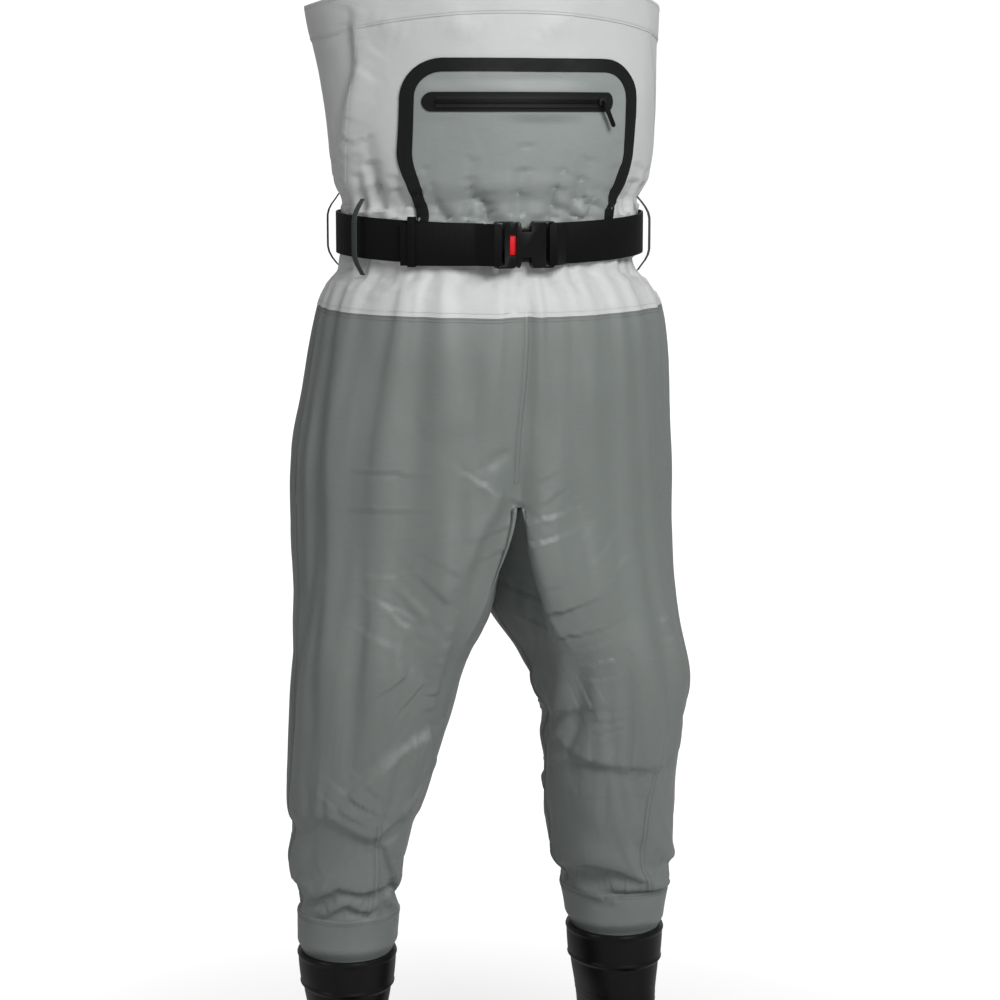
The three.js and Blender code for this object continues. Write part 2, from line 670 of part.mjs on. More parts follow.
const beltArc = arcThrough(
  ...[beltTurn(-120), beltTurn(4), beltTurn(128)].map((t) => trunkPoint(t, beltShape, lapOut, beltShape)),
);
const beltAngle = (x) => Math.asin((x - beltArc.x) / beltArc.radius);

// Buckle, drawn in a frame at its middle: the belt along X, the outside at -Y.
const buckleFrame = new THREE.Group();
const buckleAngle = beltAngle(buckle.middle);
const buckleLift = 2.2; // the flat buckle clears the curved webbing behind it
buckleFrame.position.copy(onArc(beltArc, buckleAngle, beltArc.radius + buckleLift, buckleHeight));
buckleFrame.rotation.z = buckleAngle;
waders.add(buckleFrame);

const tongue = { long: 38, high: beltWidth - 25.5, thick: 2.6 };
const midPlane = -buckle.thick / 2;
const mouth = -11; // socket's open end
const cavity = { high: beltWidth - 6, thick: 6.8, end: 21 }; // room for the tongue to leave along the belt's curve
const notch = { middle: 1.5, top: 12, bottom: 6, deep: 12.5 };
const windowEnd = buckle.half - buckle.bar;

const socketOutline = roundedRect(buckle.half - mouth, buckle.high, 5, (buckle.half + mouth) / 2, 0);
const socketWindow = new THREE.Path();
const windowHigh = beltWidth / 2 + 1;
socketWindow.moveTo(windowEnd - buckle.slot, -windowHigh);
socketWindow.lineTo(windowEnd - buckle.slot, windowHigh);
socketWindow.lineTo(windowEnd, windowHigh);
socketWindow.lineTo(windowEnd, -windowHigh);
socketOutline.holes.push(socketWindow);
function notchTool(sign) {
  const edge = sign * (buckle.high / 2 + 1);
  const floor = sign * (buckle.high / 2 - notch.deep);
  const shape = new THREE.Shape();
  shape.moveTo(notch.middle - notch.top, edge);
  shape.quadraticCurveTo(notch.middle - notch.bottom, edge, notch.middle - notch.bottom, floor);
  shape.lineTo(notch.middle + notch.bottom, floor);
  shape.quadraticCurveTo(notch.middle + notch.bottom, edge, notch.middle + notch.top, edge);
  return plateXZ(shape, buckle.thick + 2, 1, 4);
}
const socket = cut(
  plateXZ(socketOutline, buckle.thick, 0),
  block(cavity.end - mouth + 1, cavity.thick, cavity.high, (cavity.end + mouth - 1) / 2, midPlane, 0),
  notchTool(1),
  notchTool(-1),
);
piece("buckle_socket", socket, buckleBlack, buckleFrame);

const prong = { root: 5.6, thick: 3, middle: beltWidth / 2 - 7.5, pad: beltWidth / 2 - 4.4, hole: 6.2 };
// The plug: webbing bar, cheeks and shoulder. The prongs and the red tongue are moulded pieces of their own.
const shoulder = mouth - gap;
const plugOutline = roundedRect(shoulder + buckle.half, buckle.high, 5, (shoulder - buckle.half) / 2, 0);
const plugWindow = new THREE.Path();
plugWindow.moveTo(-windowEnd, -windowHigh);
plugWindow.lineTo(-windowEnd + buckle.slot, -windowHigh);
plugWindow.lineTo(-windowEnd + buckle.slot, windowHigh);
plugWindow.lineTo(-windowEnd, windowHigh);
plugOutline.holes.push(plugWindow);
const redWindow = new THREE.Path();
const redHigh = tongue.high / 2 + gap;
redWindow.moveTo(shoulder - 8, -redHigh);
redWindow.lineTo(shoulder + 4, -redHigh);
redWindow.lineTo(shoulder + 4, redHigh);
redWindow.lineTo(shoulder - 8, redHigh);
const plug = cut(
  plateXZ(plugOutline, buckle.thick, 0),
  plateXZ(new THREE.Shape(redWindow.getPoints()), buckle.thick + 2, 1),
  ...[1, -1].map((sign) => block(5, 3.6, prong.hole, shoulder - 1, midPlane, sign * prong.middle)),
);
piece("buckle_plug", plug, buckleBlack, buckleFrame);

const tongueMiddle = shoulder - 8 + gap + tongue.long / 2;
const redTongue = block(tongue.long, tongue.thick, tongue.high, tongueMiddle, midPlane, 0);
piece("buckle_tongue", redTongue, signalRed, buckleFrame);

// Each prong is rooted in the plug's shoulder, and its pad shows in the socket's notch.

for (const [name, sign] of [["upper", 1], ["lower", -1]]) {
  const shape = new THREE.Shape();
  const z = (v) => sign * v;
  const inner = prong.middle - 2.1;
  shape.moveTo(shoulder - 3, z(prong.middle - prong.root / 2));
  shape.lineTo(shoulder - 3, z(prong.middle + prong.root / 2));
  shape.lineTo(shoulder + 4, z(prong.pad - 1.2));
  shape.quadraticCurveTo(notch.middle, z(prong.pad + 1.4), notch.middle + 9, z(prong.pad - 1.4));
  shape.lineTo(notch.middle + 15, z(inner));
  shape.lineTo(notch.middle + 7, z(inner));
  shape.lineTo(shoulder + 3, z(prong.middle - prong.root / 2));
  const prongPlate = plateXZ(shape, prong.thick, midPlane + prong.thick / 2);
  piece(`buckle_prong_${name}`, prongPlate, buckleBlack, buckleFrame);
}

// A flat loop of webbing round a bar of the buckle, drawn in the buckle's frame. Its nose runs down
// to the belt: inner and outer are how far the nose's two faces end below the buckle's back.
const nose = { end: buckle.half + 20, start: buckle.half + 1.5 };
function barLoop(sign, inner, outer) {
  const bar = { from: buckle.half - buckle.bar - gap, to: buckle.half + gap, deep: buckle.thick + gap };
  const outline = (points) => points.map(([x, y]) => new THREE.Vector2(sign * x, y));
  const shape = new THREE.Shape(
    outline([
      [nose.end, inner],
      [nose.start, gap + webbing * 0.7],
      [bar.from - webbing * 0.9, gap + webbing * 0.7],
      [bar.from - webbing * 0.9, -bar.deep - webbing * 0.7],
      [nose.start, -bar.deep - webbing * 0.7],
      [nose.end, outer],
    ]),
  );
  const hole = outline([
    [bar.from, gap],
    [nose.start + 1, gap],
    [nose.end - 6.5, inner - 4.6],
    [bar.to + 0.5, -bar.deep],
    [bar.from, -bar.deep],
  ]);
  shape.holes.push(new THREE.Path(hole));
  const band = new THREE.ExtrudeGeometry(shape, { depth: beltWidth, bevelEnabled: false });
  band.translate(0, 0, -beltWidth / 2);
  const toBelt = new THREE.Matrix4().makeRotationZ(buckleAngle).setPosition(buckleFrame.position);
  return band.applyMatrix4(toBelt);
}
piece("belt_webbing", join(beltWeb, barLoop(1, 10.3, 8)), webbingBlack);

// The tail wraps the plug's bar and lies back over the belt as far as the keeper.
const tailOut = 1.1;
const tail = arcStrip(
  14, beltArc, beltAngle(tailEnd), beltAngle(buckle.middle - nose.end + 4),
  beltArc.radius + tailOut, webbing,
  buckleHeight - beltWidth / 2, buckleHeight + beltWidth / 2,
);
piece("belt_tail", join(tail, barLoop(-1, 6.9, 4.9)), webbingBlack);

// An elastic keeper holds the tail down on the belt.
const keeperTurn = beltTurn(keeper.at);
const keeperFoot = trunkPoint(keeperTurn, beltAt(keeperTurn), beltSeat, beltShape);
const keeperFrame = new THREE.Group();
keeperFrame.position.copy(keeperFoot);
keeperFrame.rotation.z = Math.atan2(
  trunkPoint(keeperTurn + 0.01, 0, 0, beltShape).y - trunkPoint(keeperTurn - 0.01, 0, 0, beltShape).y,
  trunkPoint(keeperTurn + 0.01, 0, 0, beltShape).x - trunkPoint(keeperTurn - 0.01, 0, 0, beltShape).x,
);
waders.add(keeperFrame);
const keeperDeep = 2 * webbing + keeper.room + gap;
const keeperHigh = beltWidth + 8;
const keeperMiddle = gap - keeperDeep / 2;
const keeperBand = cut(
  block(keeper.wide, keeperDeep + 2 * keeper.thick, keeperHigh + 2 * keeper.thick, 0, keeperMiddle, 0),
  block(keeper.wide + 2, keeperDeep, keeperHigh, 0, keeperMiddle, 0),
);
piece("belt_keeper", keeperBand, webbingBlack, keeperFrame);

// Loops stand off the belt and are sewn to the bib above and below it.
const loop = { wide: 9.5, thick: 1.5, rise: 17, over: 13, foot: 8 };
const loopTurns = { front_right: -67, front_left: 67, side_right: -104, side_left: 104, back: 180 };
for (const [name, turn] of Object.entries(loopTurns)) {
  const t = deg(turn);
  const half = beltWidth / 2 + loop.over;
  const widthTurn = loop.wide / trunkAt(waistShare)[2];
  const bow = (s) => {
    const flat = clamp((1 - Math.abs(s)) / 0.62, 0, 1);
    return gap * 2 + loop.rise * Math.sin(flat * quarter) ** 0.9;
  };
  const band = slab(14, 1, (u, v, w) => {
    const s = lerp(-1, 1, u);
    const z = beltAt(t) + s * (half + loop.foot);
    const room = trunkPoint(t, 0, 0, z).distanceTo(trunkPoint(t, 0, 0, beltShape));
    const out = Math.max(gap * 2 + room, bow(s)) + (w ? loop.thick : 0);
    return trunkPoint(t + (v - 0.5) * widthTurn, z, out, beltShape);
  });
  piece(`belt_loop_${name}`, band, loopGrey);
}

// ---------- suspenders ----------
const strap = { width: 38, thick: 2.2, x: 104, top: 1622, straight: 56 };
const yoke = { y: 150, z: 1512, pin: 2.6, half: 58, thick: 4 };
const rimTurn = (x) => Math.asin((x + 5) / 220);
const clip = { high: 44, wide: 46, thick: 10, bar: 5, slot: 5 };

for (const [side, sign] of Object.entries(sides)) {
  const x = sign * strap.x;
  const rim = rimAt(rimTurn(x));
  // A tab sewn inside the hem comes up over the rim and holds the socket's bar.
  const barZ = rim + 16;
  const tabInside = -cloth - hemStep - gap * 5;
  const tab = slab(4, 6, (u, v, w) => {
    const z = lerp(rim - 34, barZ - 3.4, v);
    const px = x + lerp(-0.5, 0.5, u) * (strap.width - 2);
    const onHem = trunkPoint(rimTurn(px), z, tabInside - (w ? 0 : strap.thick), Math.min(z, rim));
    onHem.x = px;
    return onHem;
  });
  piece(`strap_tab_${side}`, tab, webbingBlack);

  const tabTop = trunkPoint(rimTurn(x), barZ, tabInside - strap.thick / 2, rim);
  const clipFrame = new THREE.Group();
  clipFrame.position.set(x, tabTop.y + clip.thick / 2, barZ);
  waders.add(clipFrame);
  const barLift = clip.bar / 2;
  const socketBody = roundedRect(clip.wide, clip.high, 4, 0, clip.high / 2 - barLift);
  const clipSocket = cut(
    plateXZ(socketBody, clip.thick, 0, 4),
    block(strap.width + 1, clip.thick + 4, clip.slot, 0, -clip.thick / 2, barLift + clip.slot / 2),
    block(34, 7, 26, 0, -clip.thick / 2, clip.high - barLift - 12),
    ...[1, -1].map((s) => block(10, clip.thick + 4, 11, s * (clip.wide / 2), -clip.thick / 2, 24)),
  );
  piece(`strap_socket_${side}`, clipSocket, buckleBlack, clipFrame);

  // The plug enters from above, and carries the strap.
  const socketTop = clip.high - barLift;
  const plugFrame = new THREE.Group();
  plugFrame.position.copy(clipFrame.position).add(vec(0, 0, socketTop + gap));
  waders.add(plugFrame);
  const plugHigh = 17;
  const head = roundedRect(clip.wide, plugHigh, 4, 0, plugHigh / 2);
  const blade = block(25, 2.4, 22, 0, -clip.thick / 2, -9);
  const clipPlug = cut(
    join(plateXZ(head, clip.thick, 0, 4), blade),
    block(strap.width + 1, clip.thick + 4, clip.slot, 0, -clip.thick / 2, plugHigh - clip.bar - clip.slot / 2),
  );
  piece(`strap_plug_${side}`, clipPlug, buckleBlack, plugFrame);

  // The strap rises from the plug, goes over the shoulder and ends in an eye round the yoke's pin.
  const startZ = plugFrame.position.z + plugHigh + gap;
  const startY = plugFrame.position.y - clip.thick / 2;
  const eye = { inner: yoke.pin + 0.4, outer: yoke.pin + 0.4 + strap.thick };
  const yokeX = sign * (yoke.half - strap.width / 2 - 8);
  const path = new THREE.CatmullRomCurve3(
    [
      vec(x, startY, startZ + strap.straight),
      vec(x, startY + 5, startZ + strap.straight + 12),
      vec(x * 0.98, lerp(startY, 0, 0.45), strap.top - 7),
      vec(x * 0.92, 5, strap.top),
      vec(lerp(x, yokeX, 0.55), yoke.y * 0.55, strap.top - 24),
      vec(lerp(x, yokeX, 0.9), yoke.y * 0.9, yoke.z + 38),
      vec(yokeX, yoke.y, yoke.z + eye.outer - 0.6),
    ],
    false,
    "centripetal",
  );
  const steps = 24;
  const ribbon = slab(steps, 1, (u, v, w) => {
    const lifted = Math.max(0, (u * steps - 1) / (steps - 1));
    const p = u === 0 ? vec(x, startY, startZ) : path.getPointAt(lifted);
    const along = u * steps < 2 ? vec(0, 0, 1) : path.getTangentAt(lifted);
    const normal = vec(0, -along.z, along.y).normalize();
    return p
      .add(vec((v - 0.5) * strap.width, 0, 0))
      .addScaledVector(normal, (w - 0.5) * strap.thick);
  });
  const ring = new THREE.Shape();
  ring.absarc(0, 0, eye.outer, 0, 2 * Math.PI);
  ring.holes.push(new THREE.Path().absarc(0, 0, eye.inner, 0, 2 * Math.PI));
  const eyeTube = new THREE.ExtrudeGeometry(ring, { depth: strap.width, bevelEnabled: false, curveSegments: 8 })
    .rotateY(deg(90))
    .translate(yokeX - strap.width / 2, yoke.y, yoke.z);
  piece(`shoulder_strap_${side}`, join(ribbon, eyeTube), webbingBlack);

  // A sliding adjuster rides on the straight run above the plug.
  const adjuster = { wide: strap.width + 8, thick: 6.6, high: 20, room: 0.5, window: 5.2 };
  const windows = [1, -1].map((s) => block(strap.width - 2, adjuster.thick, adjuster.window, 0, -adjuster.thick / 2, s * 4.8));
  const adjusterBody = cut(
    block(adjuster.wide, adjuster.thick, adjuster.high),
    block(strap.width + 2 * adjuster.room, strap.thick + 2 * adjuster.room, adjuster.high + 2),
    ...windows,
  );
  adjusterBody.translate(x, startY, startZ + adjuster.high / 2 + 2);
  piece(`strap_adjuster_${side}`, adjusterBody, buckleBlack);
}

// The yoke is a plate with a pin across its top, on a stitched tab from the back of the bib.
const yokeShape = new THREE.Shape();
const lugIn = yoke.half - 8;
const plateTop = -12;
yokeShape.moveTo(-yoke.half, plateTop);
yokeShape.lineTo(-24, -42);
yokeShape.lineTo(24, -42);
yokeShape.lineTo(yoke.half, plateTop);
yokeShape.lineTo(yoke.half, 4);
yokeShape.lineTo(lugIn + gap, 4);
yokeShape.lineTo(lugIn + gap, plateTop);
yokeShape.lineTo(4, plateTop);
yokeShape.lineTo(4, 4);
yokeShape.lineTo(-4, 4);
yokeShape.lineTo(-4, plateTop);
yokeShape.lineTo(-lugIn - gap, plateTop);
yokeShape.lineTo(-lugIn - gap, 4);
yokeShape.lineTo(-yoke.half, 4);
const yokePin = new THREE.CylinderGeometry(yoke.pin, yoke.pin, 2 * yoke.half - 2, 12).rotateZ(deg(90));
const yokePlate = join(plateXZ(yokeShape, yoke.thick, yoke.thick / 2), yokePin);
const yokeSlot = block(42, yoke.thick + 4, 5, 0, 0, -34);
piece("strap_yoke", cut(yokePlate, yokeSlot).translate(0, yoke.y, yoke.z), buckleBlack);

const backRim = trunkPoint(2 * quarter, rimAt(2 * quarter));
const tabLow = backRim.z - 44;
const tabHigh = yoke.z - 36.2;
const backTab = slab(2, 8, (u, v, w) => {
  const z = lerp(tabLow, tabHigh, v);
  const seat = trunkPoint(2 * quarter, z, gap * 2, Math.min(z, chestHeight)).y;
  const rise = smooth(z, backRim.z - 8, tabHigh);
  const y = lerp(seat, yoke.y - yoke.thick / 2 - gap - strap.thick, rise) + (w ? strap.thick : 0);
  return vec(lerp(-0.5, 0.5, u) * strap.width, y, z);
});
piece("back_tab", backTab, webbingBlack);

export default waders;
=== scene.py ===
import math
import random
import time

import bmesh
import bpy
import numpy as np
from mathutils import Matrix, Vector, noise


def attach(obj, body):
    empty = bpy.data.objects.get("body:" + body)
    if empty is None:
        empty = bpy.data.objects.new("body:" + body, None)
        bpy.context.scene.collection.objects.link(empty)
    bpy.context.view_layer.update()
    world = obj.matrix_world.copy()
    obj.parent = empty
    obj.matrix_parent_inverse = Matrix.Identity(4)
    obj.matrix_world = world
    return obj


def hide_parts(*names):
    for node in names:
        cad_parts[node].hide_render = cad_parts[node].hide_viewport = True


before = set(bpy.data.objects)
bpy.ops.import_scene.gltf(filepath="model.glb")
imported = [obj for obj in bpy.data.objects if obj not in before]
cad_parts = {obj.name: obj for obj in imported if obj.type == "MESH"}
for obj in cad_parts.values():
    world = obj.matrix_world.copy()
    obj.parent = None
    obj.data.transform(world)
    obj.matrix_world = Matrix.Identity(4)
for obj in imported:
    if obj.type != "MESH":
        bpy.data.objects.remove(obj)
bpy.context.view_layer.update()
scene = bpy.context.scene
mm = 0.001
print("frame loaded")

# camera, floor and light

studio = {
    "cameraPlace": (-0.9008, -2.9976, 1.291),
    "cameraTurn": -17.0,
    "cameraDip": 8.5,
    "lens": 90.0,
    "floorSize": 14.0,
    "ambient": 0.3,
    "keyPower": 108.0,
    "sidePower": 9.0,
    "rimPower": 10.0,
}


def aimed(thing, place, target):
    thing.location = place
    thing.rotation_euler = (Vector(target) - Vector(place)).to_track_quat("-Z", "Y").to_euler()


def softLight(name, place, target, width, height, power, colour=(1, 1, 1)):
    lamp = bpy.data.lights.new(name, "AREA")
    lamp.shape = "RECTANGLE"
    lamp.size, lamp.size_y = width, height
    lamp.energy = power
    lamp.color = colour
    thing = bpy.data.objects.new(name, lamp)
    scene.collection.objects.link(thing)
    aimed(thing, place, target)


lens = bpy.data.cameras.new("camera")
lens.lens, lens.sensor_width = studio["lens"], 36.0
lens.clip_end = 60.0
camera = bpy.data.objects.new("camera", lens)
camera.location = studio["cameraPlace"]
camera.rotation_euler = (
    math.radians(90 - studio["cameraDip"]), 0, math.radians(studio["cameraTurn"])
)
scene.collection.objects.link(camera)
scene.camera = camera
scene.view_settings.view_transform = "Standard"

softLight("key", (0.75, -3.0, 3.0), (0, 0, 0.8), 1.6, 1.6, studio["keyPower"])
softLight("side", (-3.2, -1.0, 1.5), (0, 0, 0.7), 1.0, 2.2, studio["sidePower"])
softLight("rim", (1.2, 2.6, 2.4), (0, 0, 0.9), 2.0, 2.0, studio["rimPower"])

sky = bpy.data.worlds.new("sky")
scene.world = sky
sky.use_nodes = True
skyTree = sky.node_tree
skyTree.nodes.clear()
skyOut = skyTree.nodes.new("ShaderNodeOutputWorld")
skyMix = skyTree.nodes.new("ShaderNodeMixShader")
skyLit = skyTree.nodes.new("ShaderNodeBackground")
skySeen = skyTree.nodes.new("ShaderNodeBackground")
skyRay = skyTree.nodes.new("ShaderNodeLightPath")
skyLit.inputs["Color"].default_value = (1, 1, 1, 1)
skyLit.inputs["Strength"].default_value = studio["ambient"]
skySeen.inputs["Color"].default_value = (1, 1, 1, 1)
skySeen.inputs["Strength"].default_value = 1.05
skyTree.links.new(skyRay.outputs["Is Camera Ray"], skyMix.inputs[0])
skyTree.links.new(skyLit.outputs[0], skyMix.inputs[1])
skyTree.links.new(skySeen.outputs[0], skyMix.inputs[2])
skyTree.links.new(skyMix.outputs[0], skyOut.inputs[0])

# finishes


def finish(name):
    made = bpy.data.materials.new(name)
    made.use_nodes = True
    tree = made.node_tree
    return made, tree, tree.nodes["Principled BSDF"]


def add(tree, kind, settings=None, **inputs):
    made = tree.nodes.new(kind)
    for key, value in (settings or {}).items():
        setattr(made, key, value)
    for key, value in inputs.items():
        socket = made.inputs[int(key[1:])] if key[0] == "_" and key[1:].isdigit() else made.inputs[key]
        if isinstance(value, bpy.types.NodeSocket):
            tree.links.new(value, socket)
        else:
            socket.default_value = value
    return made


def linear(colour):
    def channel(v):
        v = v / 255
        return v / 12.92 if v <= 0.04045 else ((v + 0.055) / 1.055) ** 2.4

    return tuple(channel(v) for v in colour) + (1.0,)


def shade(colour, by):
    return tuple(min(1.0, c * by) for c in colour[:3]) + (1.0,)


def mapping(tree, source, scale):
    coord = add(tree, "ShaderNodeTexCoord")
    return add(tree, "ShaderNodeMapping", Vector=coord.outputs[source], Scale=scale).outputs[0]


# Plain weave: two crossed sets of fine threads, a little uneven, with broad soft blotches over them.
def clothFinish(name, look):
    made, tree, skin = finish(name)
    base = linear(look["colour"])
    place = mapping(tree, "UV", (1, 1, 1))
    body = mapping(tree, "Object", (1, 1, 1))
    warp = add(tree, "ShaderNodeTexWave", {"wave_type": "BANDS", "bands_direction": "X"},
               Vector=place, Scale=look["threads"], Distortion=0.6, Detail=1.0)
    weft = add(tree, "ShaderNodeTexWave", {"wave_type": "BANDS", "bands_direction": "Y"},
               Vector=place, Scale=look["threads"], Distortion=0.6, Detail=1.0)
    weave = add(tree, "ShaderNodeMath", {"operation": "MULTIPLY"}, _0=warp.outputs["Fac"], _1=weft.outputs["Fac"])
    slubs = add(tree, "ShaderNodeTexNoise", Vector=mapping(tree, "UV", (60, 900, 60)), Scale=1.0, Detail=3.0)
    blotch = add(tree, "ShaderNodeTexNoise", Vector=body, Scale=9.0, Detail=4.0, Roughness=0.55)
    crinkle = add(tree, "ShaderNodeTexNoise", Vector=body, Scale=55.0, Detail=5.0, Roughness=0.6)
    tone = add(tree, "ShaderNodeValToRGB", Fac=blotch.outputs["Fac"])
    tone.color_ramp.elements[0].position, tone.color_ramp.elements[1].position = 0.3, 0.7
    tone.color_ramp.elements[0].color = shade(base, 1 - look["uneven"])
    tone.color_ramp.elements[1].color = shade(base, 1 + look["uneven"])
    threadTone = add(tree, "ShaderNodeMixRGB", {"blend_type": "MULTIPLY"},
                     Fac=look["weaveTone"], Color1=tone.outputs[0], Color2=weave.outputs[0])
    slubTone = add(tree, "ShaderNodeMixRGB", {"blend_type": "SOFT_LIGHT"},
                   Fac=look["slub"], Color1=threadTone.outputs[0], Color2=slubs.outputs["Fac"])
    tree.links.new(slubTone.outputs[0], skin.inputs["Base Color"])
    wear = add(tree, "ShaderNodeMapRange", Value=crinkle.outputs["Fac"])
    wear.inputs["To Min"].default_value = look["rough"] - 0.06
    wear.inputs["To Max"].default_value = look["rough"] + 0.06
    tree.links.new(wear.outputs[0], skin.inputs["Roughness"])
    fine = add(tree, "ShaderNodeBump", Strength=look["weaveBump"], Distance=0.0003, Height=weave.outputs[0])
    coarse = add(tree, "ShaderNodeBump", Strength=look["crinkle"], Distance=0.002,
                 Height=crinkle.outputs["Fac"], Normal=fine.outputs[0])
    tree.links.new(coarse.outputs[0], skin.inputs["Normal"])
    skin.inputs["Sheen Weight"].default_value = look["sheen"]
    skin.inputs["Sheen Roughness"].default_value = 0.45
    skin.inputs["Specular IOR Level"].default_value = look["shine"]
    return made


clothLook = {"threads": 400.0, "uneven": 0.025, "weaveTone": 0.1, "slub": 0.12, "rough": 0.44,
             "weaveBump": 0.35, "crinkle": 0.16, "sheen": 0.1, "shine": 0.6}
lightCloth = clothFinish("light cloth", {**clothLook, "colour": (204, 206, 205)})
darkCloth = clothFinish("dark cloth", {**clothLook, "colour": (121, 127, 124)})
pocketCloth = clothFinish("pocket cloth", {**clothLook, "colour": (144, 150, 148)})
liningCloth = clothFinish("lining", {**clothLook, "colour": (84, 90, 94), "rough": 0.85, "sheen": 0.3})


# Moulded or coated black stuff: fine grain, faint scuffs in both colour and gloss.
def mouldedFinish(name, look):
    made, tree, skin = finish(name)
    base = linear(look["colour"])
    body = mapping(tree, "Object", (1, 1, 1))
    grain = add(tree, "ShaderNodeTexNoise", Vector=body, Scale=look["grain"], Detail=4.0, Roughness=0.6)
    scuffs = add(tree, "ShaderNodeTexNoise", Vector=mapping(tree, "Object", (1, 1, 0.35)),
                 Scale=look["scuffs"], Detail=6.0, Roughness=0.7)
    tone = add(tree, "ShaderNodeValToRGB", Fac=scuffs.outputs["Fac"])
    tone.color_ramp.elements[0].position, tone.color_ramp.elements[1].position = 0.45, 0.75
    tone.color_ramp.elements[0].color = base
    tone.color_ramp.elements[1].color = shade(base, look["pale"])
    tree.links.new(tone.outputs[0], skin.inputs["Base Color"])
    gloss = add(tree, "ShaderNodeMapRange", Value=scuffs.outputs["Fac"])
    gloss.inputs["To Min"].default_value = look["rough"] - 0.05
    gloss.inputs["To Max"].default_value = look["rough"] + 0.12
    tree.links.new(gloss.outputs[0], skin.inputs["Roughness"])
    bump = add(tree, "ShaderNodeBump", Strength=look["bump"], Distance=0.0006, Height=grain.outputs["Fac"])
    tree.links.new(bump.outputs[0], skin.inputs["Normal"])
    skin.inputs["Specular IOR Level"].default_value = look["shine"]
    skin.inputs["Metallic"].default_value = look.get("metal", 0.0)
    return made


mouldedLook = {"colour": (6, 6, 7), "grain": 900.0, "scuffs": 14.0, "pale": 1.5, "rough": 0.38,
               "bump": 0.2, "shine": 0.26}
weldedTape = mouldedFinish("welded tape", {**mouldedLook, "colour": (15, 16, 16), "rough": 0.45, "grain": 1600.0})
bootRubber = mouldedFinish("boot rubber", {**mouldedLook, "rough": 0.3, "pale": 1.8})
soleRubber = mouldedFinish("sole rubber", {**mouldedLook, "colour": (30, 30, 29), "rough": 0.7, "pale": 1.9})
bucklePlastic = mouldedFinish("buckle plastic", {**mouldedLook, "colour": (9, 9, 10), "rough": 0.26})
signalRed = mouldedFinish("signal red", {**mouldedLook, "colour": (226, 26, 34), "pale": 1.12})
zipMetal = mouldedFinish("zip metal", {**mouldedLook, "colour": (44, 45, 46), "metal": 0.7, "rough": 0.32})


# Webbing: cross ribs every 1.6 mm with a lengthwise twill, read from the strap's own UV map or its place.
def webbingFinish(name, look):
    made, tree, skin = finish(name)
    base = linear(look["colour"])
    place = mapping(tree, look["from"], (1, 1, 1))
    ribs = add(tree, "ShaderNodeTexWave", {"wave_type": "BANDS", "bands_direction": look["across"]},
               Vector=place, Scale=look["ribs"], Distortion=0.15, Detail=1.0)
    twill = add(tree, "ShaderNodeTexWave", {"wave_type": "BANDS", "bands_direction": "DIAGONAL"},
                Vector=place, Scale=look["ribs"] * 1.7, Distortion=0.4)
    fuzz = add(tree, "ShaderNodeTexNoise", Vector=place, Scale=700.0, Detail=3.0)
    yarn = add(tree, "ShaderNodeMath", {"operation": "MULTIPLY_ADD"},
               _0=twill.outputs["Fac"], _1=0.45, _2=ribs.outputs["Fac"])
    tone = add(tree, "ShaderNodeValToRGB", Fac=yarn.outputs[0])
    tone.color_ramp.elements[0].position, tone.color_ramp.elements[1].position = 0.1, 1.0
    tone.color_ramp.elements[0].color = shade(base, 0.7)
    tone.color_ramp.elements[1].color = shade(base, 1.35)
    tree.links.new(tone.outputs[0], skin.inputs["Base Color"])
    rough = add(tree, "ShaderNodeMapRange", Value=fuzz.outputs["Fac"])
    rough.inputs["To Min"].default_value = look["rough"] - 0.08
    rough.inputs["To Max"].default_value = look["rough"] + 0.08
    tree.links.new(rough.outputs[0], skin.inputs["Roughness"])
    bump = add(tree, "ShaderNodeBump", Strength=look["bump"], Distance=0.0004, Height=yarn.outputs[0])
    tree.links.new(bump.outputs[0], skin.inputs["Normal"])
    skin.inputs["Sheen Weight"].default_value = 0.02
    skin.inputs["Specular IOR Level"].default_value = 0.14
    return made


webbingLook = {"colour": (4, 4, 5), "from": "UV", "across": "X", "ribs": 190.0, "rough": 0.55, "bump": 0.4}
beltWebbing = webbingFinish("belt webbing", {**webbingLook, "from": "Object"})
strapWebbing = webbingFinish("strap webbing", {**webbingLook, "from": "Object", "across": "Z"})
loopWebbing = webbingFinish("loop webbing", {**webbingLook, "from": "Object", "across": "Z", "colour": (58, 63, 62)})
print("finishes made")

# the garment's own surface, in millimetres

size = {
    "crotch": 830.0, "chest": 1435.0, "bootTop": 245.0, "cuff": 55.0,
    "waistSeam": 1077.0, "waistSeamDip": 11.0,
    "belt": 1166.0, "beltDip": 15.0, "beltWidth": 50.0,
    "frontRise": 30.0, "hem": 42.0, "cloth": 2.2, "legGap": 3.0, "roundFrom": 0.6,
}
rise = size["chest"] - size["crotch"]
waistShare = (size["belt"] - size["beltDip"] / 2 - size["crotch"]) / rise
nipReach = (size["beltWidth"] / 2 + 16) / rise


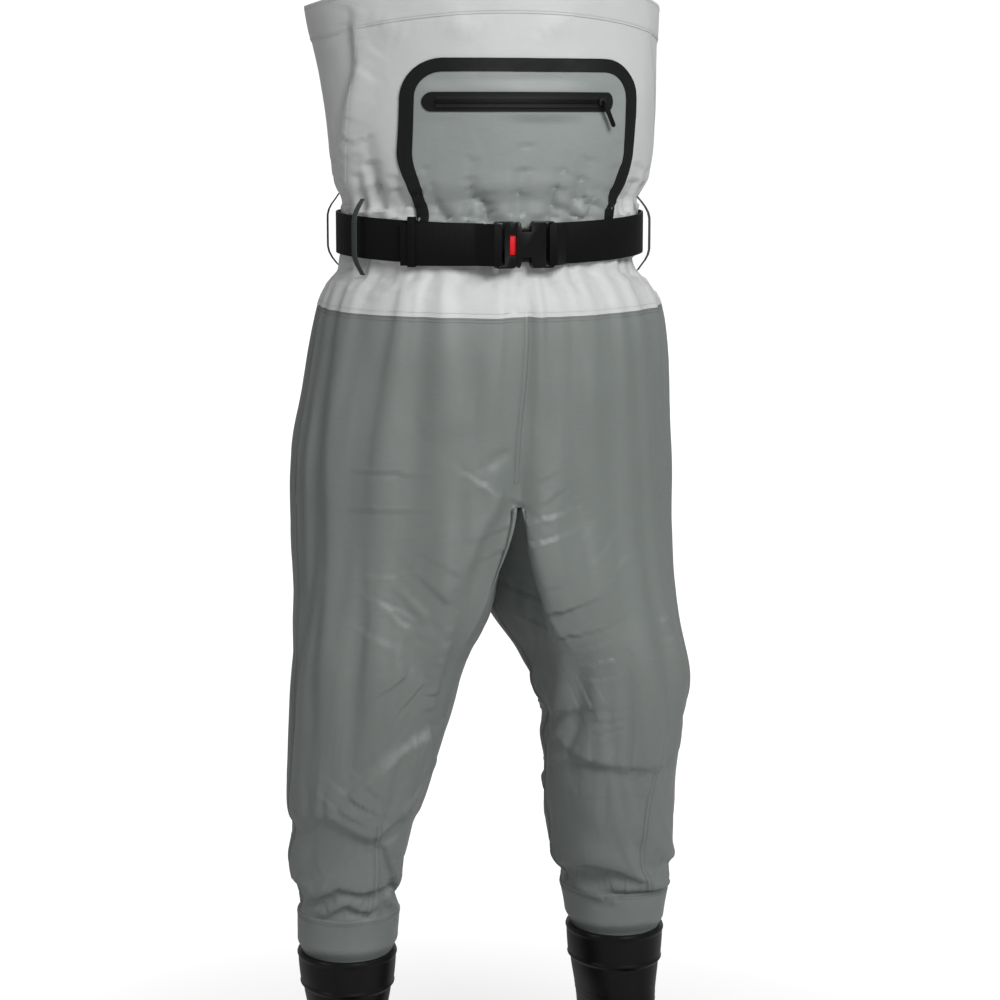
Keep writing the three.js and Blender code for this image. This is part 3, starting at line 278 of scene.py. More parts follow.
# Smooth reading of rows whose first number is the key; it never swings past the rows' own values.
def reader(rows):
    rows = np.array(rows, float)
    last = len(rows) - 1

    def read(key):
        key = np.clip(np.asarray(key, float), rows[0, 0], rows[-1, 0])
        i = np.clip(np.searchsorted(rows[:, 0], key, side="left"), 1, last)
        a, b = rows[i - 1], rows[i]
        before, after = rows[np.maximum(0, i - 2)], rows[np.minimum(last, i + 1)]
        span = (b[..., 0] - a[..., 0])[..., None]
        s = (key - a[..., 0])[..., None] / span
        slopeA = (b - before) / (b[..., :1] - before[..., :1]) * span
        slopeB = (after - a) / (after[..., :1] - a[..., :1]) * span
        slopeA = np.where((b - a) * (a - before) <= 0, 0, slopeA)
        slopeB = np.where((b - a) * (after - b) <= 0, 0, slopeB)
        s2, s3 = s * s, s * s * s
        out = (2 * s3 - 3 * s2 + 1) * a + (s3 - 2 * s2 + s) * slopeA
        return (out + (3 * s2 - 2 * s3) * b + (s3 - s2) * slopeB)[..., 1:]

    return read


# share of the way from crotch to rim, middle x, middle y, half width, depth in front, depth behind
trunkAt = reader([
    [0, -3, 10, 243, 150, 169],
    [0.1, -3, 10, 241, 151, 170],
    [0.28, 4, 6, 232, 148, 160],
    [0.4, 7, 2, 221, 140, 147],
    [waistShare - 0.11 * 0.92, 5, 1, 208, 130, 133],
    [waistShare - nipReach, 4, 0, 189, 118, 116],
    [waistShare, 4, 0, 189, 118, 116],
    [waistShare + nipReach, 4, 0, 189, 118, 116],
    [waistShare + 0.11, 5, 0, 198, 127, 121],
    [0.777, 4, 0, 208, 138, 128],
    [0.929, -2, 0, 217, 143, 133],
    [1, -5, 0, 220, 144, 135],
    [1.08, -6, 0, 221, 145, 136],
])
# share of the way from boot rim to crotch, middle x, middle y, half width, half depth
legAt = {
    "right": reader([
        [0, 182.5, 25, 60, 64], [0.092, 182, 24, 63, 67], [0.207, 180, 18, 71, 76],
        [0.32, 175, 10, 82, 88], [0.444, 165, 4, 92, 97], [0.545, 156, 0, 99, 104],
        [0.658, 145, 0, 108, 114], [0.767, 126, 2, 121, 128], [1, 122, 8, 119, 150],
    ]),
    "left": reader([
        [0, 182.5, 25, 60, 64], [0.092, 181, 24, 66, 68], [0.207, 172, 16, 80, 80],
        [0.32, 165, 6, 86, 89], [0.444, 164, -6, 91, 94], [0.545, 161, -12, 96, 99],
        [0.658, 148, -9, 106, 110], [0.767, 130, -2, 118, 126], [1, 119, 8, 119, 150],
    ]),
}
signOf = {"right": -1, "left": 1}


def smooth(x, low, high):
    s = np.clip((x - low) / (high - low), 0, 1)
    return s * s * (3 - 2 * s)


def trunkPoint(turn, height, out=0.0):
    turn, height = np.radians(np.asarray(turn, float)), np.asarray(height, float)
    rows = trunkAt((height - size["crotch"]) / rise)
    cx, cy, half, front, back = (rows[..., k] for k in range(5))
    depth = np.where(np.cos(turn) > 0, front, back)
    n = np.stack([np.sin(turn) / half, -np.cos(turn) / depth], -1)
    n /= np.linalg.norm(n, axis=-1, keepdims=True)
    x = cx + half * np.sin(turn) + out * n[..., 0]
    y = cy - depth * np.cos(turn) + out * n[..., 1]
    return np.stack([x, y, height + 0 * turn], -1)


def thighLean(side):
    middle, _, half = trunkAt(0.0)[:3]
    return math.degrees(math.asin((signOf[side] * size["legGap"] / 2 - middle) / half))


# turn -90 is the front, 0 the outer side, 90 the back and 180 the inner side
def legPoint(side, turn, height, out=0.0):
    sign = signOf[side]
    turn = np.asarray(turn, float) + 0 * np.asarray(height, float)
    height = np.asarray(height, float) + 0 * turn
    share = (height - size["bootTop"]) / (size["crotch"] - size["bootTop"])
    rows = legAt[side](share)
    x, y, half, depth = (rows[..., k] for k in range(4))
    r = np.radians(turn)
    oval = np.stack([sign * (x + (half + out) * np.cos(r)), y + (depth + out) * np.sin(r), height], -1)
    u = ((turn + 120) % 360) / 360
    cx, cy, _, front, back = trunkAt(0.0)
    wall = sign * (size["legGap"] / 2 - out)
    lean = thighLean(side)
    around = lean + ((180 if sign > 0 else -180) - 2 * lean) * u * 1.5
    outer = trunkPoint(around, np.full_like(turn, size["crotch"]), out)
    outer[..., 0] = np.maximum(outer[..., 0], wall) if sign > 0 else np.minimum(outer[..., 0], wall)
    lean = math.radians(lean)
    behind, ahead = cy + (back + out) * math.cos(lean), cy - (front + out) * math.cos(lean)
    inner = np.stack([wall + 0 * turn, behind + (ahead - behind) * (u - 2 / 3) * 3, height], -1)
    flat = np.where((u <= 2 / 3)[..., None], outer, inner)
    flat[..., 2] = height
    become = smooth(share, size["roundFrom"], 1)[..., None]
    return oval * (1 - become) + flat * become


def bodyPoint(part, turn, height, out=0.0):
    return trunkPoint(turn, height, out) if part == "trunk" else legPoint(part, turn, height, out)


def unit(v):
    return v / np.maximum(np.linalg.norm(v, axis=-1, keepdims=True), 1e-9)


def bodyNormal(part, turn, height):
    dTurn = bodyPoint(part, turn + 0.5, height) - bodyPoint(part, turn - 0.5, height)
    dHeight = bodyPoint(part, turn, height + 2) - bodyPoint(part, turn, height - 2)
    n = unit(np.cross(dTurn, dHeight))
    return -n if part == "right" else n


def frontShare(turn):
    return (1 + np.cos(np.radians(turn))) / 2


def rimAt(turn):
    return size["chest"] + size["frontRise"] * np.maximum(0, np.cos(np.radians(turn))) ** 1.5


def hemSeamAt(turn):
    return rimAt(turn) - size["hem"]


def waistSeamAt(turn):
    return size["waistSeam"] - size["waistSeamDip"] * frontShare(turn) ** 2


def beltAt(turn):
    return size["belt"] - size["beltDip"] * frontShare(turn) ** 2


# Folds. Each is a line over the garment with a lifted side and a dropped side. The lifted side is above a
# line drawn from the viewer's left to right, and to the viewer's right of a line drawn downwards.
# Lines run through (turn, height): a turn round the trunk from the crotch up, and round the leg below it.
folds = []
drift = {"broad": 95.0, "broadLift": 6.0, "middle": 44.0, "middleLift": 1.9, "fine": 15.0, "fineLift": 0.16}
strength = {"right": 1.35, "left": 1.3, "trunk": 1.6}


def fold(part, line, lift, up, drop=0.0, sharp=None, down=None, lap=0.0, ends=(0.25, 0.25)):
    sharp = up if sharp is None else sharp
    down = sharp * 2 if down is None else down
    places = [bodyPoint("trunk" if z >= size["crotch"] else part, a, z) for a, z in line]
    normals = [bodyNormal("trunk" if z >= size["crotch"] else part, a, z) for a, z in line]
    folds.append({"points": np.array(places), "normals": np.array(normals), "lift": lift * strength[part],
                  "up": up, "drop": drop * strength[part], "sharp": sharp, "down": down, "lap": lap, "ends": ends})


def spline(points, step):
    points = np.asarray(points, float)
    if len(points) == 2:
        count = max(2, int(np.linalg.norm(points[1] - points[0]) / step) + 1)
        return points[0] + (points[1] - points[0]) * np.linspace(0, 1, count)[:, None]
    padded = np.vstack([2 * points[0] - points[1], points, 2 * points[-1] - points[-2]])
    out = []
    for i in range(1, len(padded) - 2):
        p0, p1, p2, p3 = padded[i - 1: i + 3]
        count = max(2, int(np.linalg.norm((p2 - p1)[-3:]) / step))
        t = np.linspace(0, 1, count, endpoint=False)[:, None]
        out.append(0.5 * (2 * p1 + (p2 - p0) * t + (2 * p0 - 5 * p1 + 4 * p2 - p3) * t * t
                          + (3 * p1 - p0 - 3 * p2 + p3) * t ** 3))
    return np.vstack(out + [points[-1:]])


# broad soft swellings: side, turn, height, reach across, reach along, lift
swells = []


def swell(part, turn, height, across, along, lift):
    swells.append((bodyPoint(part, turn, height), bodyNormal(part, turn, height), across, along, lift))


def prepareFolds():
    for f in folds:
        both = spline(np.hstack([f["points"], f["normals"]]), 4.0)
        f["line"], f["out"] = both[:, :3], unit(both[:, 3:])
        f["along"] = unit(np.gradient(f["line"], axis=0))
        f["side"] = unit(np.cross(f["out"], f["along"]))
        length = np.r_[0, np.cumsum(np.linalg.norm(np.diff(f["line"], axis=0), axis=1))]
        f["share"] = length / length[-1]
        f["reach"] = 2.4 * max(f["up"], f["sharp"], f["down"] if f["drop"] else 0)


def relief(points, normals):
    flatPoints, flatNormals = points.reshape(-1, 3), normals.reshape(-1, 3)
    moved = np.zeros_like(flatPoints)
    for f in folds:
        low, high = f["line"].min(0) - f["reach"], f["line"].max(0) + f["reach"]
        near = np.nonzero(np.all((flatPoints > low) & (flatPoints < high), axis=1))[0]
        for start in range(0, len(near), 20000):
            part = near[start:start + 20000]
            p = flatPoints[part]
            k = ((p[:, None, :] - f["line"][None]) ** 2).sum(2).argmin(1)
            away = p - f["line"][k]
            inside = (k > 0) & (k < len(f["line"]) - 1)
            away -= f["along"][k] * np.where(inside, (away * f["along"][k]).sum(1), 0)[:, None]
            away -= f["out"][k] * (away * f["out"][k]).sum(1)[:, None]
            far = np.linalg.norm(away, axis=1)
            above = (away * f["side"][k]).sum(1) >= 0
            share = f["share"][k]
            fade = smooth(share, -0.02, f["ends"][0]) * (1 - smooth(share, 1 - f["ends"][1], 1.02))
            fade *= smooth((flatNormals[part] * f["out"][k]).sum(1), 0.0, 0.5)
            upper = f["lift"] * np.exp(-(far / f["up"]) ** 2)
            lower = (f["lift"] + f["drop"]) * np.exp(-(far / f["sharp"]) ** 2)
            lower -= f["drop"] * np.exp(-(far / f["down"]) ** 2)
            height = np.where(above, upper, lower) * fade
            moved[part] += flatNormals[part] * height[:, None]
            if f["lap"]:
                roll = np.where(above, np.exp(-(far / (f["up"] * 0.6)) ** 2), np.exp(-(far / f["sharp"]) ** 2))
                moved[part] -= f["side"][k] * (f["lap"] * roll * fade)[:, None]
    for centre, outward, across, along, lift in swells:
        away = flatPoints - centre
        level = np.hypot(away[:, 0], away[:, 1]) / across
        bell = np.exp(-level ** 2 - (away[:, 2] / along) ** 2) * smooth(flatNormals @ outward, -0.3, 0.5)
        moved += flatNormals * (lift * bell)[:, None]
    moved += flatNormals * (wander(flatPoints))[:, None]
    moved *= calm(flatPoints, (moved * flatNormals).sum(1))[:, None]
    return moved.reshape(points.shape)


def wander(points):
    out = np.empty(len(points))
    wide, mid, fine = drift["broad"], drift["middle"], drift["fine"]
    for i, (x, y, z) in enumerate(points.tolist()):
        out[i] = (
            drift["broadLift"] * noise.noise((x / wide, y / wide + 7.1, z / (wide * 1.7)))
            + drift["middleLift"] * noise.noise((x / mid + 3.3, y / mid, z / (mid * 1.4)))
            + drift["fineLift"] * noise.noise((x / fine, y / fine + 1.7, z / fine))
        )
    return out


# The patch of bib behind the rigid back tab: all 1 in its middle, 0 away from it.
def behindTab(x, y, z):
    return smooth(y, 60, 90) * (1 - smooth(abs(x), 22, 44)) * smooth(z, 1320, 1350)


# The cloth keeps still under the zip and the back tab, and never swells into the belt.
def calm(points, outward):
    x, y, z = points.T
    front = smooth(-y, 40, 80)
    underZip = front * (1 - smooth(abs(z - 1320), 13, 26)) * (1 - smooth(abs(x - 5), 112, 140))
    turn = np.degrees(np.arctan2(x - 4, -y))
    fromBelt = abs(z - beltAt(turn))
    underBelt = np.where(outward > 0, 1 - smooth(fromBelt, 24, 34), 0)
    underTab = np.where(outward > 0, behindTab(x, y, z), 0)
    return (1 - 0.9 * underZip) * (1 - 0.85 * underBelt) * (1 - underTab)


# right trouser leg
fold("right", [(-14, 878), (-7, 893), (-2, 905)], -2.5, 8, ends=(0.6, 0.3))
swell("trunk", 0, 842, 20, 46, -11)
swell("left", 180, 770, 34, 70, -9)
swell("left", 180, 840, 26, 44, -7)
fold("right", [(-80, 690), (-96, 740), (-103, 800), (-3, 868)], 5.0, 46, 4.0, 15, 50, ends=(0.5, 0.08))
fold("right", [(-40, 900), (-66, 810), (-70, 736), (-60, 660)], -4.0, 38, ends=(0.4, 0.5))
fold("right", [(-78, 1026), (-82, 984), (-78, 926), (-14, 812), (-12, 694)], 1.6, 7)
fold("right", [(-42, 920), (-26, 940), (-12, 938), (-4, 920)], 1.3, 28, 1.0, 20, 34, ends=(0.5, 0.5))
fold("right", [(-104, 695), (-108, 658), (-116, 614), (-119, 570)], 4.0, 9, 2.0, 14, 30, ends=(0.5, 0.4))
fold("right", [(-112, 600), (-84, 640), (-78, 680), (-90, 720)], 4.5, 34, 4.0, 14, 30, ends=(0.4, 0.5))
fold("right", [(-150, 552), (-118, 540), (-95, 516), (-74, 480), (-62, 446)], 5.0, 34, 5.0, 9, 34, ends=(0.35, 0.3))
fold("right", [(-158, 509), (-136, 484), (-122, 460), (-112, 448)], 2.5, 14, 2.0, 6, 14, ends=(0.4, 0.3))
fold("right", [(60, 436), (20, 432), (-10, 438), (-44, 449), (-62, 444), (-78, 432), (-92, 425), (-100, 434),
               (-114, 447), (-140, 441), (-170, 434), (-205, 430)], 4.5, 50, 3.5, 12, 34, lap=2, ends=(0.45, 0.45))
fold("right", [(30, 352), (-10, 348), (-38, 338), (-62, 354), (-86, 350), (-112, 352), (-140, 344), (-170, 330)],
     3.5, 22, 3.5, 9, 20, lap=2, ends=(0.4, 0.4))
fold("right", [(-30, 318), (-50, 310), (-72, 326), (-96, 316), (-120, 322)], 3.5, 11, 2.5, 6, 14, ends=(0.4, 0.4))
fold("right", [(-100, 424), (-123, 368), (-135, 342), (-130, 320), (-162, 294)], 3.5, 20, 4.0, 6, 18, ends=(0.3, 0.4))
# left trouser leg
fold("left", [(-117, 826), (-115, 774), (-115, 716), (-126, 650)], 8.0, 48, 7.0, 20, 60, ends=(0.3, 0.5))
fold("left", [(8, 880), (14, 835), (-86, 788), (-73, 740)], -3.0, 26, ends=(0.4, 0.5))
fold("left", [(-108, 660), (-113, 620), (-116, 576), (-116, 546), (-112, 520)], 3.5, 36, 2.5, 20, 44, ends=(0.5, 0.4))
fold("left", [(-168, 560), (-148, 566), (-128, 574), (-108, 588)], 4.0, 26, 4.0, 10, 26, lap=2, ends=(0.4, 0.5))
fold("left", [(-190, 556), (-170, 547), (-152, 528), (-136, 512), (-118, 503), (-100, 498), (-82, 494), (-64, 492),
              (-40, 502), (-10, 524)], 5.0, 46, 3.5, 12, 34, lap=3, ends=(0.35, 0.45))
fold("left", [(-175, 486), (-140, 498), (-118, 500), (-84, 478)], 3.0, 14, 3.0, 8, 20, ends=(0.3, 0.5))
fold("left", [(-48, 690), (-46, 640), (-33, 592)], 3.5, 16, ends=(0.4, 0.3))
fold("left", [(-190, 332), (-167, 340), (-138, 352), (-114, 350), (-94, 340), (-71, 326), (-48, 318)],
     4.5, 26, 4.0, 9, 20, lap=2, ends=(0.3, 0.4))
fold("left", [(-132, 300), (-104, 312), (-76, 314), (-44, 308), (-10, 316)], 4.5, 18, 5.0, 8, 15, lap=3,
     ends=(0.4, 0.4))
fold("left", [(-175, 326), (-155, 308), (-130, 297), (-100, 289)], 3.0, 11, 2.5, 8, 12, ends=(0.4, 0.4))
swell("left", 0, 583, 70, 36, 8)
swell("left", -10, 540, 60, 16, -5)
swell("left", 180, 546, 46, 18, -12)
swell("left", -150, 740, 46, 90, -7)
swell("left", 180, 600, 50, 26, 5)
swell("left", 0, 345, 50, 16, 5)
swell("right", 0, 415, 50, 14, -6)
swell("right", 0, 372, 50, 20, 5)
swell("right", -90, 610, 60, 60, 5)
swell("left", -90, 610, 60, 60, 5)
# bib
fold("trunk", [(-55, 1438), (-58, 1398), (-60, 1356), (-68, 1314), (-76, 1272), (-83, 1244)], 2.0, 16, 3.0, 6, 22)
fold("trunk", [(-48, 1390), (-60, 1342), (-68, 1286), (-76, 1246)], 2.4, 20, 1.2, 16, 34, ends=(0.45, 0.45))
fold("trunk", [(-52, 1420), (-44, 1408), (-36, 1396)], 1.3, 13, ends=(0.5, 0.5))
fold("trunk", [(-28, 1420), (-20, 1408), (-12, 1396)], 1.2, 13, ends=(0.5, 0.5))
fold("trunk", [(6, 1396), (12, 1408), (20, 1420)], 1.1, 13, ends=(0.5, 0.5))
fold("trunk", [(-58, 1246), (-58, 1224), (-58, 1200)], -3.5, 5, ends=(0.6, 0.05))
fold("trunk", [(-48, 1234), (-46, 1212), (-44, 1188)], -4.0, 6, ends=(0.6, 0.05))
fold("trunk", [(-20, 1226), (-15, 1204), (-9, 1178)], -3.5, 9, ends=(0.6, 0.05))
fold("trunk", [(-33, 1206), (-26, 1178)], -3.0, 8, ends=(0.6, 0.05))
fold("trunk", [(12, 1204), (20, 1199), (30, 1180)], 2.5, 10, 2.0, 6, 10)
fold("trunk", [(24, 1206), (34, 1202), (44, 1184)], 2.5, 9, 2.5, 5, 9)
fold("trunk", [(54, 1132), (66, 1122), (79, 1108)], -3.5, 6)
fold("trunk", [(76, 1124), (78, 1110), (80, 1090)], -3.5, 6)

# The belt gathers the cloth: small uneven pleats run up and down from it all round.
gathers = {"count": 36, "seed": 11, "deep": (4.2, 8.0), "long": (50, 120), "wide": (7, 13)}


def beltGathers():
    pick = random.Random(gathers["seed"])
    for i in range(gathers["count"]):
        turn = -180 + (i + pick.uniform(-0.3, 0.3)) * 360 / gathers["count"]
        quiet = 0.55 if abs(turn) < 40 else 1.0
        for way in (-1, 1):
            edge = float(beltAt(turn)) + way * (size["beltWidth"] / 2 - 6)
            reach = pick.uniform(*gathers["long"]) * (0.6 if way < 0 else 1.0)
            lean = pick.uniform(-5, 5)
            line = [(turn, edge), (turn + lean * 0.4, edge + way * reach * 0.5), (turn + lean, edge + way * reach)]
            fold("trunk", line, -pick.uniform(*gathers["deep"]) * quiet, pick.uniform(*gathers["wide"]),
                 ends=(0.02, 0.8))


beltGathers()

# Behind the knees, behind the ankles and under the seat the cloth breaks into a few crossing folds.
rearFolds = {
    "seed": 5,
    "knee": {"height": 510, "spread": 150, "count": 6, "lift": 5.0, "up": 30},
    "ankle": {"height": 322, "spread": 56, "count": 3, "lift": 4.0, "up": 18},
    "seat": {"height": 780, "spread": 90, "count": 3, "lift": 3.0, "up": 30},
}


def backOfLegs():
    pick = random.Random(rearFolds["seed"])
    for side in ("right", "left"):
        for zone in ("knee", "ankle", "seat"):
            look = rearFolds[zone]
            for i in range(look["count"]):
                height = look["height"] + (i / max(1, look["count"] - 1) - 0.5) * look["spread"] + pick.uniform(-8, 8)
                middle, half = 90 + pick.uniform(-28, 28), pick.uniform(34, 62)
                slope = pick.uniform(-22, 22)
                line = [(middle - half, height - slope), (middle, height + pick.uniform(6, 14)),
                        (middle + half, height + slope)]
                # turns mean the trunk's from the crotch up, so these stay below it
                line = [(a, min(z, size["crotch"] - 4)) for a, z in line]
                if side == "left":
                    line.reverse()
                fold(side, line, look["lift"] * pick.uniform(0.6, 1), look["up"], look["lift"], 11, 26, lap=2,
                     ends=(0.4, 0.4))


backOfLegs()
prepareFolds()


# where the draped cloth went, part by part: columns of turns, rows of heights or shares, and how far each moved
drapedBy = {}


def settled(part, turn, height):
    if part not in drapedBy:
        return 0.0
    turns, rows, moved = drapedBy[part]
    if part == "trunk":
        row = (height - size["crotch"]) / (rimAt(turn) - size["crotch"])
        turn = (turn + 180) % 360 - 180
    else:
        row = height
        turn = (turn + 120) % 360 - 120
    i = np.clip(np.searchsorted(turns, turn) - 1, 0, len(turns) - 2)
    j = np.clip(np.searchsorted(rows, row) - 1, 0, len(rows) - 2)
    s = np.clip((turn - turns[i]) / (turns[i + 1] - turns[i]), 0, 1)[..., None]
    t = np.clip((row - rows[j]) / (rows[j + 1] - rows[j]), 0, 1)[..., None]
    low = moved[j, i] * (1 - s) + moved[j, i + 1] * s
    high = moved[j + 1, i] * (1 - s) + moved[j + 1, i + 1] * s
    return low * (1 - t) + high * t


def clothPoint(part, turn, height):
    base = bodyPoint(part, turn, height)
    return base + relief(base, bodyNormal(part, turn, height)) + settled(part, turn, height)


def onCloth(part, turn, height, out=0.0):
    turn, height = np.broadcast_arrays(np.asarray(turn, float), np.asarray(height, float))

    def at(a, z):
        return clothPoint(part, a, z)

    here = at(turn, height)
    if np.all(np.asarray(out) == 0):
        return here
    n = unit(np.cross(at(turn + 0.6, height) - here, at(turn, height + 1.5) - here))
    return here + (-n if part == "right" else n) * np.asarray(out)[..., None]


print("folds laid out:", len(folds))

# mesh making


def meshObject(name, points, faces, materials, uv=None, slots=None, softly=True, crisp=None):
    made = bpy.data.meshes.new(name)
    made.from_pydata((np.asarray(points).reshape(-1, 3) * mm).tolist(), [], [list(map(int, f)) for f in faces])
    for material in materials:
        made.materials.append(material)
    if uv is not None:
        layer = made.uv_layers.new(name="UVMap")
        index = np.empty(len(made.loops), dtype=np.int32)
        made.loops.foreach_get("vertex_index", index)
        layer.data.foreach_set("uv", (np.asarray(uv).reshape(-1, 2)[index] * mm).ravel())
    if slots is not None:
        made.polygons.foreach_set("material_index", np.asarray(slots, dtype=np.int32))
    made.polygons.foreach_set("use_smooth", np.full(len(made.polygons), softly))
    made.update()
    if crisp:
        made.set_sharp_from_angle(angle=math.radians(crisp))
    thing = bpy.data.objects.new(name, made)
    scene.collection.objects.link(thing)
    return thing


def gridFaces(rows, columns, closed, start=0, turned=False):
    wide = columns if closed else columns - 1
    j, i = np.meshgrid(np.arange(rows - 1), np.arange(wide), indexing="ij")
    k = (i + 1) % columns
    quads = np.stack([j * columns + i, j * columns + k, (j + 1) * columns + k, (j + 1) * columns + i], -1)
    quads = quads.reshape(-1, 4) + start
    return quads[:, ::-1] if turned else quads


def gridNormals(points, closed):
    if closed:
        across = np.roll(points, -1, 1) - np.roll(points, 1, 1)
    else:
        across = np.gradient(points, axis=1)
    return unit(np.cross(across, np.gradient(points, axis=0)))


def gridUv(points):
    across = np.linalg.norm(np.diff(points, axis=1), axis=2).mean(0)
    upward = np.linalg.norm(np.diff(points, axis=0), axis=2).mean(1)
    u, v = np.r_[0, np.cumsum(across)], np.r_[0, np.cumsum(upward)]
    return np.stack(np.meshgrid(u, v), -1)


# A sheet with a real thickness: the given grid is its outside, and its edges are closed.
def sheetOf(name, outside, thick, outer, inner=None, closed=False, turned=False, inside=None):
    rows, columns = outside.shape[:2]
    if inside is None:
        n = gridNormals(outside, closed)
        inside = outside - (-n if turned else n) * thick
    uv = gridUv(outside)
    count = rows * columns
    front = gridFaces(rows, columns, closed, 0, turned)
    back = gridFaces(rows, columns, closed, count, not turned)
    edge = []
    wide = columns if closed else columns - 1
    for i in range(wide):
        k = (i + 1) % columns
        edge.append([k, i, count + i, count + k])
        top = (rows - 1) * columns
        edge.append([top + i, top + k, count + top + k, count + top + i])
    if not closed:
        for j in range(rows - 1):
            a, b = j * columns, (j + 1) * columns
            edge.append([a, b, count + b, count + a])
            a, b = a + columns - 1, b + columns - 1
            edge.append([b, a, count + a, count + b])
    edge = np.array(edge)
    if turned:
        edge = edge[:, ::-1]
    faces = np.vstack([front, back, edge])
    slots = np.r_[np.zeros(len(front)), np.full(len(back), 1 if inner else 0), np.zeros(len(edge))]
    materials = [outer, inner] if inner else [outer]
    return meshObject(name, np.concatenate([outside.reshape(-1, 3), inside.reshape(-1, 3)]), faces,
                      materials, np.concatenate([uv.reshape(-1, 2)] * 2), slots, crisp=60)


def owned(thing, body, slotName, *nodes):
    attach(thing, body)
    if nodes:
        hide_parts(*nodes)
    return thing


# trousers and bib

grid = {"outer": 130, "inner": 60, "legRows": 165, "hipRows": 74, "bibRows": 100, "hemRows": 14, "crowd": 0.34}


# Columns round the garment, closer together in front: shares of the outer side, of the thigh, and the ring of turns.
def columnsOf(outer, inner, crowd):
    outerShare = np.linspace(0, 1, outer + 1)
    outerShare = (1 - crowd) * outerShare + crowd * outerShare ** 2
    innerShare = np.linspace(0, 1, inner + 1)[1:-1]
    innerShare = (1 + crowd) * innerShare - crowd * innerShare ** 2
    turns = {}
    for side, sign in signOf.items():
        lean = thighLean(side)
        turns[side] = lean + ((180 if sign > 0 else -180) - 2 * lean) * outerShare
    return outerShare, innerShare, np.r_[turns["left"], turns["right"][::-1]]


outerShare, innerShare, ring = columnsOf(grid["outer"], grid["inner"], grid["crowd"])

# The large folds are the ones laid out above. The whole garment is then draped once as one thin sheet, with spare
# cloth let in at the belt, the crotch, the knees and the ankles, and held at the belt, the zip, the hem, the back tab
# and the boot tops. It sags far, so its broad movement is taken out again and only small wrinkles are kept.
drape = {"outer": 84, "inner": 38, "legRows": 84, "trunkRows": 92, "frames": 14, "slack": -0.09,
         "bend": 2.5, "stiff": 18.0, "pressure": 1.2, "gravity": 0.35, "most": 14.0,
         "quality": 5, "mass": 0.3, "shear": 0.6, "damping": 12, "bendDamping": 2, "underCuff": 10,
         "smoothing": 90, "evenStep": 0.5, "driftOut": 0.95, "keep": 0.5}
looseZones = [
    # height, how far it reaches up and down, how much of the slack it gets
    (1205, 26, 1.0), (1112, 20, 0.8), (880, 46, 0.3), (505, 60, 0.9), (330, 34, 1.0),
]


# Adds both legs and the gusset between them to a trunk whose first row is at the crotch. The top row of a leg's
# outer side is the trunk's own first row. Returns each leg's grid of points and of point numbers.
def hangLegs(points, faces, columns, outerCount, turns, levels):
    start, wide, legs, ids = len(points[0]), len(turns), {}, {}
    for side, sign in signOf.items():
        leg = clothPoint(side, np.tile(turns, (len(levels), 1)), np.tile(levels[:, None], (1, wide)))
        here = np.arange(len(levels) * wide).reshape(-1, wide) + start
        count = np.arange(outerCount)
        here[-1, :outerCount] = count if sign > 0 else columns - 1 - count
        for i in range(wide):
            k = (i + 1) % wide
            quad = np.stack([here[:-1, i], here[:-1, k], here[1:, k], here[1:, i]], -1)
            faces.append(quad if sign > 0 else quad[:, ::-1])
        points.append(leg.reshape(-1, 3))
        start += len(levels) * wide
        legs[side], ids[side] = leg, here
    left, right = (np.r_[ids[side][-1, outerCount - 1:], ids[side][-1, 0]] for side in ("left", "right"))
    faces.append(np.stack([left[:-1], right[:-1], right[1:], left[1:]], -1))
    return legs, ids


# Takes the broad drift out of the movement, so that the wrinkles stay and the garment keeps its size.
def wrinklesOnly(moved, faces):
    ends = np.vstack([faces[:, [i, (i + 1) % 4]] for i in range(4)])
    ends = np.vstack([ends, ends[:, ::-1]])
    near = np.maximum(np.bincount(ends[:, 0], minlength=len(moved)), 1)
    broad = moved.copy()
    for step in range(drape["smoothing"]):
        around = [np.bincount(ends[:, 0], broad[ends[:, 1], k], len(moved)) / near for k in range(3)]
        broad = (1 - drape["evenStep"]) * broad + drape["evenStep"] * np.stack(around, -1)
    return (moved - drape["driftOut"] * broad) * drape["keep"]


